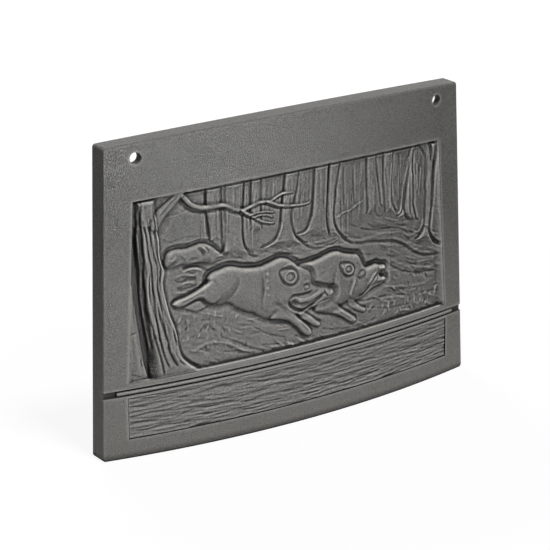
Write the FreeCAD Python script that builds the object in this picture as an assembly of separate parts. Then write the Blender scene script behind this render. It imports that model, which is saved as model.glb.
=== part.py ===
"""Cast-iron fireback: a bowed plate with a returned rim, a carved scene panel, a plank panel and a bead."""
import FreeCAD, Part
import math
import os
from FreeCAD import Vector

# Plan and section of the casting, front facing -Y, standing on its foot
plate_width_foot = 340.0
plate_width_head = 322.0
head_crown = 6.5
bow = 19.0
setback = 6.5
rim_depth = 16.0
rim_width = 6.0
wall = 7.0

# Heights stacked up from the foot: plain rail, plank, thin rail, channel, sill, scene and head border
foot_rail = 15.2
plank_height = 32.6
plank_rail = 1.2
channel_width = 5.2
panel_sill = 4.5
panel_height = 139.0
head_border = 42.3

# Plain stiles between the let-in panels and the sides of the plate
panel_stile_foot = 19.3
panel_stile_head = 22.1
plank_stile = 19.9

# Edge rounding of the casting
corner_round = 2.6
front_round = 1.5
back_round = 1.0
hollow_round = 2.0

# Bolt holes near the two upper corners, inside the rim
hole_diameter = 9.0
hole_inset = 24.375
hole_below_rim = 4.0

# Depths of the carved scene panel and of the pad behind it
panel_recess = 3.8
panel_thickness = 2.2
panel_backing = 4.0
pad_margin = 5.0

# Channel across the whole front, with a half-round bead on its floor
channel_depth = 2.3
bead_width = 3.8
bead_proud = 1.9
bead_under = 0.4
bead_end_gap = 11.1

# Plank panel under the channel
plank_thickness = 3.0
plank_chamfer = 0.6

# Clearance round each let-in panel
panel_clearance = 0.15

# Heights of the carved forms above the ground of the scene panel
boar_rise = 3.0
trunk_rise = 3.2
hound_rise = 2.2
bough_rise = 1.7
tree_rise = 1.1
form_root = 0.6

# Size at which the carved outlines below were drawn, and where their sheet stood on the plate
carving_width = 297.0
carving_height = 139.0
carving_foot = 58.7

# Outlines of the carved forms, across from the centre line and up from the foot of the plate
front_boar = [
    (-84, 126), (-80, 134), (-73, 136.5), (-65, 137.5), (-56, 135.5), (-46, 133.5), (-38, 133),
    (-30, 134.5), (-22, 136), (-14, 134.8), (-7, 130.5), (0, 125), (6, 121.5), (8.5, 116), (8.5, 110),
    (13, 106.5), (20, 103.3), (26, 101.5), (28.5, 97.5), (26, 93), (18, 90.8), (8, 89), (1, 86.2),
    (-6, 83), (-14, 82), (-25, 86), (-36, 89.5), (-44, 95), (-54, 99.5), (-62, 104.5), (-68, 107.8),
    (-76, 108), (-83, 112), (-87, 119),
]
rear_boar = [
    (-4, 126), (6, 127), (14, 128), (22, 130), (29, 131), (36, 129.5), (44, 126.5), (52, 124.5),
    (56.5, 120), (60, 113.5), (65, 111.2), (72, 111.3), (79, 109), (81, 106), (79.5, 103), (75, 101.3),
    (79, 98.7), (82, 96.4), (78, 93.5), (70, 91.5), (62, 88), (54, 85.5), (46, 86), (38, 83.5),
    (28, 81), (18, 83.5), (8, 90), (0, 110),
]
hound = [
    (-117, 147), (-116, 154), (-108, 157), (-98, 156.7), (-88, 158.3), (-81, 156.5), (-75, 151),
    (-68, 145), (-73, 142.8), (-79, 141), (-87, 143), (-97, 142.5), (-106, 144), (-112, 143.5),
]
trunk_left = [(-141, 204), (-140, 170), (-138.5, 135), (-135.5, 100), (-132.5, 78), (-131, 54)]
trunk_right = [
    (-123.5, 204), (-122, 172), (-120.5, 152), (-117, 141), (-118, 130), (-114.5, 108), (-109.5, 88),
    (-104, 73), (-94, 61), (-90, 54),
]

# Tapering limbs: centre line, width at its start and width at its end
boar_legs = [
    ([(-80, 117), (-93, 118), (-110, 114)], 15.0, 5.0),
    ([(-80, 112), (-91, 108.3), (-100, 110)], 7.0, 3.0),
    ([(-22, 91), (-7, 80), (5, 70)], 13.0, 6.0),
    ([(-4, 86), (7, 79.5), (14.5, 74.5)], 8.0, 4.5),
    ([(22, 88), (38, 79), (49.5, 70.5)], 12.0, 5.5),
    ([(46, 88), (54, 80.5), (60, 76)], 7.0, 4.5),
]
boughs = [
    ([(-124, 180), (-114, 190.5), (-103, 200)], 9.0, 7.0),
    ([(-103, 200), (-95, 189), (-84, 184.6), (-70, 184.4), (-58, 179.5), (-50, 176.6)], 4.6, 3.2),
    ([(-52, 177.2), (-40, 180.8), (-27, 180.6), (-17, 184.4), (-8, 184.4)], 3.0, 1.4),
    ([(-29, 180.4), (-20, 176), (-9, 173.6), (7, 173)], 2.6, 1.2),
    ([(-52, 176.8), (-46, 172.4), (-36, 166.4), (-25, 163.4)], 2.8, 1.2),
]
trees = [
    ([(-77, 205), (-76, 180), (-75, 160)], 12.0, 13.0),
    ([(-60, 205), (-60, 175), (-59, 148)], 14.0, 17.0),
    ([(-41, 205), (-41, 180), (-40, 158)], 8.0, 9.0),
    ([(-9, 205), (-11.5, 178), (-14, 148)], 9.0, 8.0),
    ([(18.5, 205), (18, 178), (18, 148)], 12.0, 11.0),
    ([(30.5, 205), (28.5, 178), (28, 148)], 9.0, 6.0),
    ([(67.5, 205), (69, 180), (71, 156)], 9.0, 12.0),
    ([(85, 205), (85, 180), (86, 156)], 9.0, 10.0),
    ([(111, 205), (109, 178), (108, 141)], 4.0, 11.0),
    ([(133, 205), (130.5, 170), (126.5, 122)], 11.0, 9.0),
]

# Levels worked out from the stacked heights
plank_foot = foot_rail
plank_head = plank_foot + plank_height
channel_foot = plank_head + plank_rail
channel_head = channel_foot + channel_width
bead_height = channel_foot + bead_under + bead_width / 2
panel_foot = channel_head + panel_sill
panel_head = panel_foot + panel_height
plate_height = panel_head + head_border
hole_height = plate_height - rim_width - hole_below_rim

# Bow, lean and depths worked out from the sizes above
half_foot = plate_width_foot / 2
bow_radius = (half_foot ** 2 + bow ** 2) / (2 * bow)
lean = setback / plate_height
panel_floor = panel_recess + panel_thickness
pad_face = panel_floor + panel_backing
reach = half_foot + rim_depth
far = plate_width_foot


def side(height):
    """Half width of the plate at a height."""
    return half_foot + (plate_width_head - plate_width_foot) / 2 * height / plate_height


def rise(height, half):
    """How far a level line of the casting is crowned over its own half width."""
    return head_crown * height / plate_height * (half / side(height)) ** 2


def bowed_y(x, depth):
    """Y of the bowed front at floor level, moved back by a depth."""
    return bow_radius - bow - math.sqrt(bow_radius ** 2 - x ** 2) + depth


def bowed_layer(front, back):
    """Solid between two depths behind the bowed, leaning front, taller and wider than the plate."""
    low = -rim_depth
    top = plate_height + head_crown + rim_depth

    def point(x, depth):
        return Vector(x, bowed_y(x, depth) + lean * low, low)

    outer = Part.Arc(point(-reach, front), point(0, front), point(reach, front)).toShape()
    inner = Part.Arc(point(reach, back), point(0, back), point(-reach, back)).toShape()
    right = Part.LineSegment(point(reach, front), point(reach, back)).toShape()
    left = Part.LineSegment(point(-reach, back), point(-reach, front)).toShape()
    section = Part.Face(Part.Wire([outer, right, inner, left]))
    return section.extrude(Vector(0, lean * (top - low), top - low))


def prism(edges):
    """Front-view outline carried straight through from front to back."""
    face = Part.Face(Part.Wire(edges))
    face.translate(Vector(0, -far, 0))
    return face.extrude(Vector(0, 2 * far, 0))


def crowned_outline(half_low, low, half_high, high):
    """Four-sided front-view outline with crowned level edges and straight sides."""
    corners = [
        Vector(-half_low, 0, low),
        Vector(half_low, 0, low),
        Vector(half_high, 0, high),
        Vector(-half_high, 0, high),
    ]
    low_middle = Vector(0, 0, low + rise(low, half_low))
    high_middle = Vector(0, 0, high + rise(high, half_high))
    if low_middle.z > low:
        low_edge = Part.Arc(corners[0], low_middle, corners[1]).toShape()
    else:
        low_edge = Part.LineSegment(corners[0], corners[1]).toShape()
    right_edge = Part.LineSegment(corners[1], corners[2]).toShape()
    high_edge = Part.Arc(corners[2], high_middle, corners[3]).toShape()
    left_edge = Part.LineSegment(corners[3], corners[0]).toShape()
    return [low_edge, right_edge, high_edge, left_edge]


def plate_outline(inset):
    """Outline of the whole plate, drawn in on all four sides by an inset."""
    low = inset
    high = plate_height - inset
    return crowned_outline(side(low) - inset, low, side(high) - inset, high)


def panel_outline(grow):
    """Outline of the scene panel, grown on all four sides."""
    half_low = side(panel_foot) - panel_stile_foot + grow
    half_high = side(panel_head) - panel_stile_head + grow
    return crowned_outline(half_low, panel_foot - grow, half_high, panel_head + grow)


def plank_outline(grow):
    """Outline of the plank panel, grown on all four sides."""
    half = side(plank_foot) - plank_stile + grow
    return crowned_outline(half, plank_foot - grow, half, plank_head + grow)


def edges_near(shape, test):
    """Edges of a shape whose middle passes a test."""
    found = []
    for edge in shape.Edges:
        middle = edge.valueAt((edge.FirstParameter + edge.LastParameter) / 2)
        if test(edge, middle):
            found.append(edge)
    return found


def depth_of(point):
    """Depth of a point behind the bowed, leaning front."""
    return point.y - bowed_y(point.x, 0) - lean * point.z


def at_depth(depth):
    """Test for edges that lie at one depth all along."""
    def test(edge, middle):
        ends = [vertex.Point for vertex in edge.Vertexes] + [middle]
        return all(abs(depth_of(point) - depth) < 0.01 for point in ends)
    return test


def runs_through(edge, middle):
    """Test for the straight corner edges that run from front to back."""
    ends = [vertex.Point for vertex in edge.Vertexes]
    return len(ends) == 2 and abs(ends[0].x - ends[1].x) < 0.01 and abs(ends[0].z - ends[1].z) < 0.01


def surround_plate():
    """Plate with its returned rim, hollow back, pockets, channel and bolt holes."""
    body = bowed_layer(0, rim_depth).common(prism(plate_outline(0)))
    body = body.makeFillet(corner_round, edges_near(body, runs_through))
    body = body.makeFillet(front_round, edges_near(body, at_depth(0)))
    body = body.makeFillet(back_round, edges_near(body, at_depth(rim_depth)))

    hollow = bowed_layer(wall, 2 * rim_depth).common(prism(plate_outline(rim_width)))
    hollow = hollow.makeFillet(corner_round, edges_near(hollow, runs_through))
    hollow = hollow.makeFillet(hollow_round, edges_near(hollow, at_depth(wall)))
    body = body.cut(hollow)

    pad = bowed_layer(wall / 2, pad_face).common(prism(panel_outline(pad_margin)))
    pad = pad.makeFillet(corner_round, edges_near(pad, runs_through))
    pad = pad.makeFillet(back_round, edges_near(pad, at_depth(pad_face)))
    body = body.fuse(pad)

    body = body.cut(bowed_layer(-rim_depth, panel_floor).common(prism(panel_outline(0))))
    body = body.cut(bowed_layer(-rim_depth, plank_thickness).common(prism(plank_outline(0))))
    channel = crowned_outline(reach, channel_foot, reach, channel_head)
    body = body.cut(bowed_layer(-rim_depth, channel_depth).common(prism(channel)))
    hole_x = side(hole_height) - hole_inset
    for x in (-hole_x, hole_x):
        bore = Part.makeCylinder(hole_diameter / 2, 2 * far, Vector(x, -far, hole_height), Vector(0, 1, 0))
        body = body.cut(bore)
    return body.removeSplitter()


def place(point):
    """Point of the carving moved onto the scene panel at the panel's own size."""
    x = point[0] * 2 * (side(panel_foot) - panel_stile_foot) / carving_width
    z = panel_foot + (point[1] - carving_foot) * panel_height / carving_height
    return Vector(x, 0, z)


def spline(points):
    """Smooth edge through carved points."""
    curve = Part.BSplineCurve()
    curve.interpolate([place(point) for point in points])
    return curve.toShape()


def closed_figure(points):
    """Closed smooth outline of a carved animal."""
    curve = Part.BSplineCurve()
    curve.interpolate([place(point) for point in points], PeriodicFlag=True)
    return [curve.toShape()]


def ribbon(left, right):
    """Outline between a left and a right edge, closed straight across at both ends."""
    across_end = Part.LineSegment(place(left[-1]), place(right[-1])).toShape()
    across_start = Part.LineSegment(place(right[0]), place(left[0])).toShape()
    return [spline(left), across_end, spline(right[::-1]), across_start]


def limb(points, start_width, end_width):
    """Outline of a tapering limb along a centre line."""
    left = []
    right = []
    last = len(points) - 1
    for i, (x, z) in enumerate(points):
        before = points[max(i - 1, 0)]
        after = points[min(i + 1, last)]
        along = Vector(after[0] - before[0], after[1] - before[1], 0).normalize()
        half = (start_width + (end_width - start_width) * i / last) / 2
        left.append((x - along.y * half, z + along.x * half))
        right.append((x + along.y * half, z - along.x * half))
    return ribbon(left, right)


def scene_panel():
    """Let-in panel with the boars, the hound, the old trunk, its boughs and the trees of the wood."""
    bounds = prism(panel_outline(-panel_clearance))
    panel = bowed_layer(panel_recess, panel_floor).common(bounds)
    forms = [(closed_figure(front_boar), boar_rise), (closed_figure(rear_boar), boar_rise)]
    forms.append((closed_figure(hound), hound_rise))
    forms.append((ribbon(trunk_left, trunk_right), trunk_rise))
    for points, start_width, end_width in boar_legs:
        forms.append((limb(points, start_width, end_width), boar_rise))
    for points, start_width, end_width in boughs:
        forms.append((limb(points, start_width, end_width), bough_rise))
    for points, start_width, end_width in trees:
        forms.append((limb(points, start_width, end_width), tree_rise))
    raised = []
    for outline, height in forms:
        block = bowed_layer(panel_recess - height, panel_recess + form_root)
        raised.append(block.common(prism(outline)).common(bounds))
    return panel.fuse(raised).removeSplitter()


def plank_panel():
    """Let-in plank with a chamfered front edge."""
    plank = bowed_layer(0, plank_thickness).common(prism(plank_outline(-panel_clearance)))
    return plank.makeChamfer(plank_chamfer, edges_near(plank, at_depth(0)))


def bead_rod():
    """Half-round bead that lies along the floor of the channel, from end to end one arc."""
    def seat(x):
        z = bead_height + rise(bead_height, side(bead_height)) * (1 - (x / side(bead_height)) ** 2)
        return Vector(x, bowed_y(x, channel_depth) + lean * z, z)

    half = side(bead_height) - bead_end_gap
    path = Part.Arc(seat(-half), seat(0), seat(half)).toShape()
    along = path.tangentAt(path.FirstParameter)
    across = Vector(0, lean, 1)
    across = (across - along * across.dot(along)).normalize()
    outward = across.cross(along).normalize()
    if outward.y > 0:
        outward = outward * -1
    low = seat(-half) - across * (bead_width / 2)
    high = seat(-half) + across * (bead_width / 2)
    crest = seat(-half) + outward * bead_proud
    section = Part.Wire([Part.Arc(low, crest, high).toShape(), Part.LineSegment(high, low).toShape()])
    sweep = math.degrees(path.LastParameter - path.FirstParameter)
    return Part.Face(section).revolve(path.Curve.Center, path.Curve.Axis, sweep)


def main():
    """Build the pieces, stand them over the middle of the footprint and write one file each."""
    pieces = {
        "surround_plate": surround_plate(),
        "scene_panel": scene_panel(),
        "plank_panel": plank_panel(),
        "bead_rod": bead_rod(),
    }
    box = pieces["surround_plate"].optimalBoundingBox(False)
    to_centre = Vector(0, -(box.YMin + box.YMax) / 2, 0)
    os.makedirs("parts", exist_ok=True)
    for name, shape in pieces.items():
        shape.translate(to_centre)
        shape.exportStep(f"parts/{name}.step")
        size = shape.optimalBoundingBox(False)
        print(name, len(shape.Solids), shape.isValid(), round(shape.Volume), size)


main()
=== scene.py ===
"""Cast-iron fireback with a carved hunting scene, a plank panel and a bead, dressed for a studio picture."""
import logging
import math
from dataclasses import dataclass, field
from enum import Enum
from typing import Sequence

import bpy
import numpy as np
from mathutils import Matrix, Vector


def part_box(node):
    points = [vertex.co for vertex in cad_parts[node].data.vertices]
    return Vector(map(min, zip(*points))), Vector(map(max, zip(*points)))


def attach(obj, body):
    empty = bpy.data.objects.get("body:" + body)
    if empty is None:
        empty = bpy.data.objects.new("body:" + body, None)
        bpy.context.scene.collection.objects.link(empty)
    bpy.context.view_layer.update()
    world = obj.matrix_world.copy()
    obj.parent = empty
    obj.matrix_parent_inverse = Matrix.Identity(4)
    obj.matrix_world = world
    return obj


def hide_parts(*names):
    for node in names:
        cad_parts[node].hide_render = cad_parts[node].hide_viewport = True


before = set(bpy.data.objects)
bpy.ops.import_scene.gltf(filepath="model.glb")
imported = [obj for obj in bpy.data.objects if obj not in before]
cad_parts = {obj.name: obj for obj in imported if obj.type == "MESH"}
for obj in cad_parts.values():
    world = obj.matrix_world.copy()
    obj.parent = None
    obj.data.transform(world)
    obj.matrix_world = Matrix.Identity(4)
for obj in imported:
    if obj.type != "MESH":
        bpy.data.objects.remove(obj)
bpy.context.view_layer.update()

log = logging.getLogger("fireback")

MM = 0.001
TINY = 1e-6
BODY = "root"
RELIEF = "relief"

Point = tuple[float, float]
Span = tuple[float, float]
Triple = tuple[float, float, float]
Line = Sequence[Point]


class Cut(Enum):
    """How a carved stroke leaves the surface."""

    RIDGE = "ridge"
    GROOVE = "groove"
    FOLD = "fold"


@dataclass(frozen=True)
class Stroke:
    """One carved line: its kind, half width and height or depth, in millimetres, and its points."""

    cut: Cut
    half_width: float
    size: float
    points: Line
    closed: bool = False


@dataclass(frozen=True)
class Figure:
    """One raised form of the carving.

    Attributes:
        outline: Points round the form.
        rise: Height of the form above the ground.
        edge: Distance over which its edge rounds over.
        moat: Depth of the contour cut round it, deepest above the form.
        moat_width: Width of that contour.
        dome: Further height that the form gains towards its middle.
        smooth: Whether the outline is a curve through its points.
        belly: Distance over which its underside rounds over, where that is wider than the edge.
        joined: Whether it grows out of a raised form, which its contour then leaves whole.
        under: How sharply its underside is cut, from 0 for a soft foot to 1.
    """

    outline: Line
    rise: float
    edge: float
    moat: float = 0.0
    moat_width: float = 3.0
    dome: float = 0.0
    smooth: bool = True
    belly: float = 0.0
    joined: bool = False
    under: float = 0.5


@dataclass(frozen=True)
class Near:
    """Grid points near a line, with their distance, place along it, direction from it and side of it."""

    index: np.ndarray
    distance: np.ndarray
    along: np.ndarray
    up: np.ndarray
    side: np.ndarray


def smooth_line(points: Line, closed: bool = False, spacing: float = 1.0) -> np.ndarray:
    """Sample a curve that passes smoothly through points.

    Args:
        points: Points of the curve in millimetres.
        closed: Whether the curve returns to its first point.
        spacing: Greatest distance between samples.

    Returns:
        Samples along the curve, one row each; a closed curve repeats its first sample at the end.
    """
    given = np.asarray(points, float)
    if closed:
        given = np.vstack([given[-1], given, given[0], given[1]])
    else:
        given = np.vstack([2 * given[0] - given[1], given, 2 * given[-1] - given[-2]])
    samples = []
    for before, start, end, after in zip(given, given[1:], given[2:], given[3:]):
        count = max(2, math.ceil(np.linalg.norm(end - start) / spacing))
        t = np.linspace(0, 1, count, endpoint=False)[:, None]
        samples.append(0.5 * (2 * start + (end - before) * t
                              + (2 * before - 5 * start + 4 * end - after) * t ** 2
                              + (3 * start - before - 3 * end + after) * t ** 3))
    samples.append(given[-2][None])
    return np.vstack(samples)


def ribbon(left: Line, right: Line) -> list[Point]:
    """Outline between a left and a right edge, both given from head to foot.

    Args:
        left: Points of the left edge.
        right: Points of the right edge.

    Returns:
        Points of the closed outline, sampled along both edges.
    """
    down = smooth_line(left, spacing=2.0)
    up = smooth_line(right, spacing=2.0)[::-1]
    return [tuple(point) for point in np.vstack([down, up])]


def ellipse(centre: Point, half_width: float, half_height: float, turn: float = 0.0) -> list[Point]:
    """Points round an ellipse.

    Args:
        centre: Middle of the ellipse.
        half_width: Half of its width before it is turned.
        half_height: Half of its height before it is turned.
        turn: Turn in degrees.

    Returns:
        Twelve points round it.
    """
    angles = np.linspace(0, 2 * math.pi, 12, endpoint=False)
    x, z = half_width * np.cos(angles), half_height * np.sin(angles)
    c, s = math.cos(math.radians(turn)), math.sin(math.radians(turn))
    return list(zip(centre[0] + c * x - s * z, centre[1] + s * x + c * z))


def shifted(grid: np.ndarray, axis: int, reach: int) -> list[np.ndarray]:
    """Copies of a grid moved along one axis, its border values repeated.

    Args:
        grid: Values over the grid.
        axis: Axis along which they are moved.
        reach: Greatest move to either side.

    Returns:
        One copy for each whole move.
    """
    padded = np.pad(grid, [(reach, reach) if a == axis else (0, 0) for a in (0, 1)], mode="edge")
    return [np.take(padded, range(k, k + grid.shape[axis]), axis=axis) for k in range(2 * reach + 1)]


def hollows(height: np.ndarray, passes: int) -> np.ndarray:
    """Compare heights with their softened surroundings.

    Args:
        height: Heights over a grid.
        passes: How far the surroundings reach.

    Returns:
        Positive where a point stands proud and negative in a hollow.
    """
    around = height
    for _ in range(passes):
        for axis in (0, 1):
            copies = shifted(around, axis, 2)
            around = sum(copies) / len(copies)
    return height - around


def linked(name: str, data: bpy.types.ID) -> bpy.types.Object:
    """Make an object and link it to the scene.

    Args:
        name: Name of the object.
        data: Its mesh, light or camera.

    Returns:
        The new object.
    """
    made = bpy.data.objects.new(name, data)
    bpy.context.scene.collection.objects.link(made)
    return made


@dataclass(frozen=True)
class Scatter:
    """Short strokes scattered by chance; a span holds the least and the greatest value.

    Attributes:
        length: Length of a stroke.
        stray: How far its far end strays.
        bend: How far its middle is bent.
        half_width: Half of its width.
        size: Its height or depth.
        ridges: Share of the strokes that are ridges.
    """

    length: Span
    stray: Span
    bend: Span
    half_width: Span
    size: Span
    ridges: float


@dataclass(frozen=True)
class Chisel:
    """Habits of the carver that all forms and strokes share; lengths are in millimetres.

    Attributes:
        curve_step: Spacing of the samples along a curved outline.
        corner_step: Spacing along an outline whose points lie close together.
        turn: How quickly an edge turns from an upper one to a lower one.
        joint_height: Height of the ground from which a joined form cuts no contour.
        moat_flat: How flat the bottom of a contour is.
        moat_power: How steeply a contour runs out.
        lip_height: Height of the lip beyond a contour, as a share of the contour's depth.
        lip_width: Width of that lip, as a share of the contour's width.
        tight_edge: Share of its edge over which the upper side of a form rounds over.
        dome_reach: Distance over which a form gains its dome.
        fade: Length of a stroke's fading ends, in half widths.
        groove_power: How narrow the bottom of a groove is.
        fold_edge: Width of a fold's steep side.
        fold_power: How quickly its gentle side runs out.
        bough_reach: Distance at which a bough's shade has run out, in half widths of its thick end.
        bough_least: Share of a bough's height that it keeps however thin it is.
        bough_taper: Share of the height that it loses as it tapers.
        bough_sink: How far a bough is let into the ground.
        shade_depth: Depth of the shade line under a bough.
        shade_start: How far out that line stays at its depth.
        shade_width: Width of that line in half widths of the bough.
        shade_above: Share of its depth that it has above the bough.
        bump_power: How pointed a round spot is.
    """

    curve_step: float = 1.2
    corner_step: float = 50.0
    turn: float = 0.9
    joint_height: float = 1.6
    moat_flat: float = 1.7
    moat_power: float = 1.2
    lip_height: float = 0.2
    lip_width: float = 0.3
    tight_edge: float = 0.55
    dome_reach: float = 9.0
    fade: float = 2.5
    groove_power: float = 1.3
    fold_edge: float = 0.9
    fold_power: float = 1.8
    bough_reach: float = 3.0
    bough_least: float = 0.55
    bough_taper: float = 0.45
    bough_sink: float = 0.2
    shade_depth: float = 1.9
    shade_start: float = 1.6
    shade_width: float = 1.7
    shade_above: float = 0.3
    bump_power: float = 1.5


@dataclass
class Carving:
    """Heights carved over a grid of points, in millimetres towards the viewer.

    Attributes:
        x: Places of the grid points across, one row of the grid after another.
        z: Places of the grid points up.
        shape: Rows and columns of the grid.
        seed: Start of the random draws.
        chisel: Habits of the carver.
        height: Carved height at each grid point.
        random: Source of the random draws.
    """

    x: np.ndarray
    z: np.ndarray
    shape: tuple[int, int]
    seed: int = 7
    chisel: Chisel = Chisel()
    height: np.ndarray = field(init=False)
    random: np.random.Generator = field(init=False)

    def __post_init__(self) -> None:
        """Start with a flat ground."""
        self.height = np.zeros_like(self.x)
        self.random = np.random.default_rng(self.seed)

    def draw(self, span: Span) -> float:
        """Draw a value by chance between the ends of a span."""
        return self.random.uniform(*span)

    def draw_cut(self, ridges: float) -> Cut:
        """Draw a ridge or a groove by chance, for a share of ridges."""
        return Cut.RIDGE if self.random.random() < ridges else Cut.GROOVE

    def near(self, line: np.ndarray, reach: float) -> Near:
        """Measure the grid points round a line.

        Args:
            line: Samples along the line.
            reach: Margin round the line's box that is measured.

        Returns:
            The grid points in that box and how they lie to the line.
        """
        low, high = line.min(0) - reach, line.max(0) + reach
        in_width = (self.x > low[0]) & (self.x < high[0])
        in_height = (self.z > low[1]) & (self.z < high[1])
        index = np.flatnonzero(in_width & in_height)
        x, z = self.x[index], self.z[index]
        best = np.full(len(index), np.inf)
        along, up, side = np.zeros_like(best), np.zeros_like(best), np.zeros_like(best)
        last = len(line) - 1
        for i, (start, end) in enumerate(zip(line[:-1], line[1:])):
            ex, ez = end - start
            ahead = (x - start[0]) * ex + (z - start[1]) * ez
            t = np.clip(ahead / (ex * ex + ez * ez + TINY ** 2), 0, 1)
            dx, dz = x - start[0] - t * ex, z - start[1] - t * ez
            square = dx * dx + dz * dz
            hit = square < best
            best[hit] = square[hit]
            along[hit] = (i + t[hit]) / last
            up[hit] = dz[hit]
            side[hit] = (ex * dz - ez * dx)[hit]
        distance = np.sqrt(best)
        return Near(index, distance, along, up / np.maximum(distance, TINY), np.sign(side))

    def inside(self, line: np.ndarray, index: np.ndarray) -> np.ndarray:
        """Tell which grid points lie inside a closed line.

        Args:
            line: Samples round the line, the first one repeated at the end.
            index: Grid points to test.

        Returns:
            One flag for each of those points.
        """
        x, z = self.x[index], self.z[index]
        found = np.zeros(len(index), bool)
        for (ax, az), (bx, bz) in zip(line[:-1], line[1:]):
            if az != bz:
                crosses = (az > z) != (bz > z)
                found ^= crosses & (x < ax + (z - az) * (bx - ax) / (bz - az))
        return found

    def raise_figure(self, figure: Figure) -> None:
        """Raise a form with a rounded edge and cut its contour into what lies behind it.

        Args:
            figure: The form.
        """
        chisel = self.chisel
        spacing = chisel.curve_step if figure.smooth else chisel.corner_step
        line = smooth_line(figure.outline, closed=True, spacing=spacing)
        near = self.near(line, figure.moat_width)
        within = self.inside(line, near.index)
        outward = np.where(within, -near.up, near.up)
        above = np.clip(0.5 + chisel.turn * outward, 0, 1)
        ground = self.height[near.index]
        moat = figure.moat * (figure.under + (1 - figure.under) * above)
        if figure.joined:
            moat = moat * np.clip(chisel.joint_height - ground, 0, 1)
        out = np.clip(near.distance / figure.moat_width, 0, 1)
        away = np.clip(chisel.moat_flat * (1 - out), 0, 1)
        lip = chisel.lip_height * figure.moat * above * np.clip(1 - np.abs(out - 1) / chisel.lip_width, 0, 1)
        tight = np.sqrt(1 - (1 - np.clip(near.distance / (chisel.tight_edge * figure.edge), 0, 1)) ** 2)
        wide = np.sin(0.5 * math.pi * np.clip(near.distance / (figure.belly or figure.edge), 0, 1))
        slack = figure.under * tight + (1 - figure.under) * wide
        crest = figure.rise + figure.dome * (1 - np.exp(-near.distance / chisel.dome_reach))
        low = ground - moat
        body = low + (crest - low) * (above * tight + (1 - above) * slack)
        outside = ground - moat * away ** chisel.moat_power + lip
        self.height[near.index] = np.where(within, body, outside)

    def carve(self, stroke: Stroke, gain: float = 1.0) -> None:
        """Carve one stroke, fading out at its ends unless it is closed.

        Args:
            stroke: The stroke.
            gain: What its height or depth is multiplied by.
        """
        chisel = self.chisel
        line = smooth_line(stroke.points, stroke.closed)
        near = self.near(line, stroke.half_width)
        across = np.clip(1 - (near.distance / stroke.half_width) ** 2, 0, 1)
        fade = np.ones_like(across)
        if not stroke.closed:
            length = np.linalg.norm(np.diff(line, axis=0), axis=1).sum()
            from_end = np.minimum(near.along, 1 - near.along) * length
            fade = np.clip(from_end / (chisel.fade * stroke.half_width), 0, 1)
        if stroke.cut is Cut.RIDGE:
            change = stroke.size * np.sqrt(across)
        elif stroke.cut is Cut.GROOVE:
            change = -stroke.size * across ** chisel.groove_power
        else:
            steep = np.clip(1 - near.distance / chisel.fold_edge, 0, 1)
            gentle = np.clip(1 - near.distance / stroke.half_width, 0, 1) ** chisel.fold_power
            change = -stroke.size * np.where(near.side > 0, gentle, steep)
        self.height[near.index] += gain * change * fade

    def scatter(self, strokes: Scatter, points: Line) -> None:
        """Carve one of many scattered strokes, with its kind, width and size drawn by chance.

        Args:
            strokes: What such strokes are like.
            points: Points of this one.
        """
        cut = self.draw_cut(strokes.ridges)
        half_width = self.draw(strokes.half_width)
        self.carve(Stroke(cut, half_width, self.draw(strokes.size), points))

    def bough(self, points: Line, start: float, end: float, rise: float) -> None:
        """Lay a tapering round bough over the ground, with a shade line cut under it.

        Args:
            points: Centre line from the thick end.
            start: Half width at the thick end.
            end: Half width at the thin end.
            rise: Height of its crest above the ground.
        """
        chisel = self.chisel
        line = smooth_line(points)
        near = self.near(line, chisel.bough_reach * start)
        half = start + (end - start) * near.along
        ground = self.height[near.index]
        tall = rise * (chisel.bough_least + chisel.bough_taper * half / start)
        crest = tall * np.sqrt(np.clip(1 - (near.distance / half) ** 2, 0, 1))
        shade = np.clip(chisel.shade_start - near.distance / (chisel.shade_width * half), 0, 1)
        shade *= np.where(near.up < 0, 1.0, chisel.shade_above)
        on_bough = np.maximum(ground, crest - chisel.bough_sink)
        beside = ground - chisel.shade_depth * shade
        self.height[near.index] = np.where(near.distance < half, on_bough, beside)

    def bump(self, centre: Point, radius: float, size: float) -> None:
        """Raise, or sink, a round spot.

        Args:
            centre: Middle of the spot.
            radius: Its radius.
            size: Its height, below 0 for a hollow.
        """
        square = ((self.x - centre[0]) ** 2 + (self.z - centre[1]) ** 2) / radius ** 2
        self.height += size * np.clip(1 - square, 0, 1) ** self.chisel.bump_power

    def blur(self) -> None:
        """Soften the carving as sand casting does."""
        grid = self.height.reshape(self.shape)
        for axis in (0, 1):
            before, here, after = shifted(grid, axis, 1)
            grid = 0.25 * before + 0.5 * here + 0.25 * after
        self.height = grid.ravel()

    def unevenness(self, size: float, amount: float) -> None:
        """Add a gentle hand-made unevenness.

        Args:
            size: Spacing of its swells in millimetres.
            amount: Height of the swells.
        """
        low_x, low_z = self.x.min(), self.z.min()
        columns = int((self.x.max() - low_x) / size) + 3
        rows = int((self.z.max() - low_z) / size) + 3
        values = self.random.uniform(-1, 1, (rows, columns))
        u, v = (self.x - low_x) / size, (self.z - low_z) / size
        i, j = u.astype(int), v.astype(int)
        s, t = (w * w * (3 - 2 * w) for w in (u - i, v - j))
        lower = values[j, i] * (1 - s) + values[j, i + 1] * s
        upper = values[j + 1, i] * (1 - s) + values[j + 1, i + 1] * s
        self.height += amount * (lower * (1 - t) + upper * t)


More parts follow.
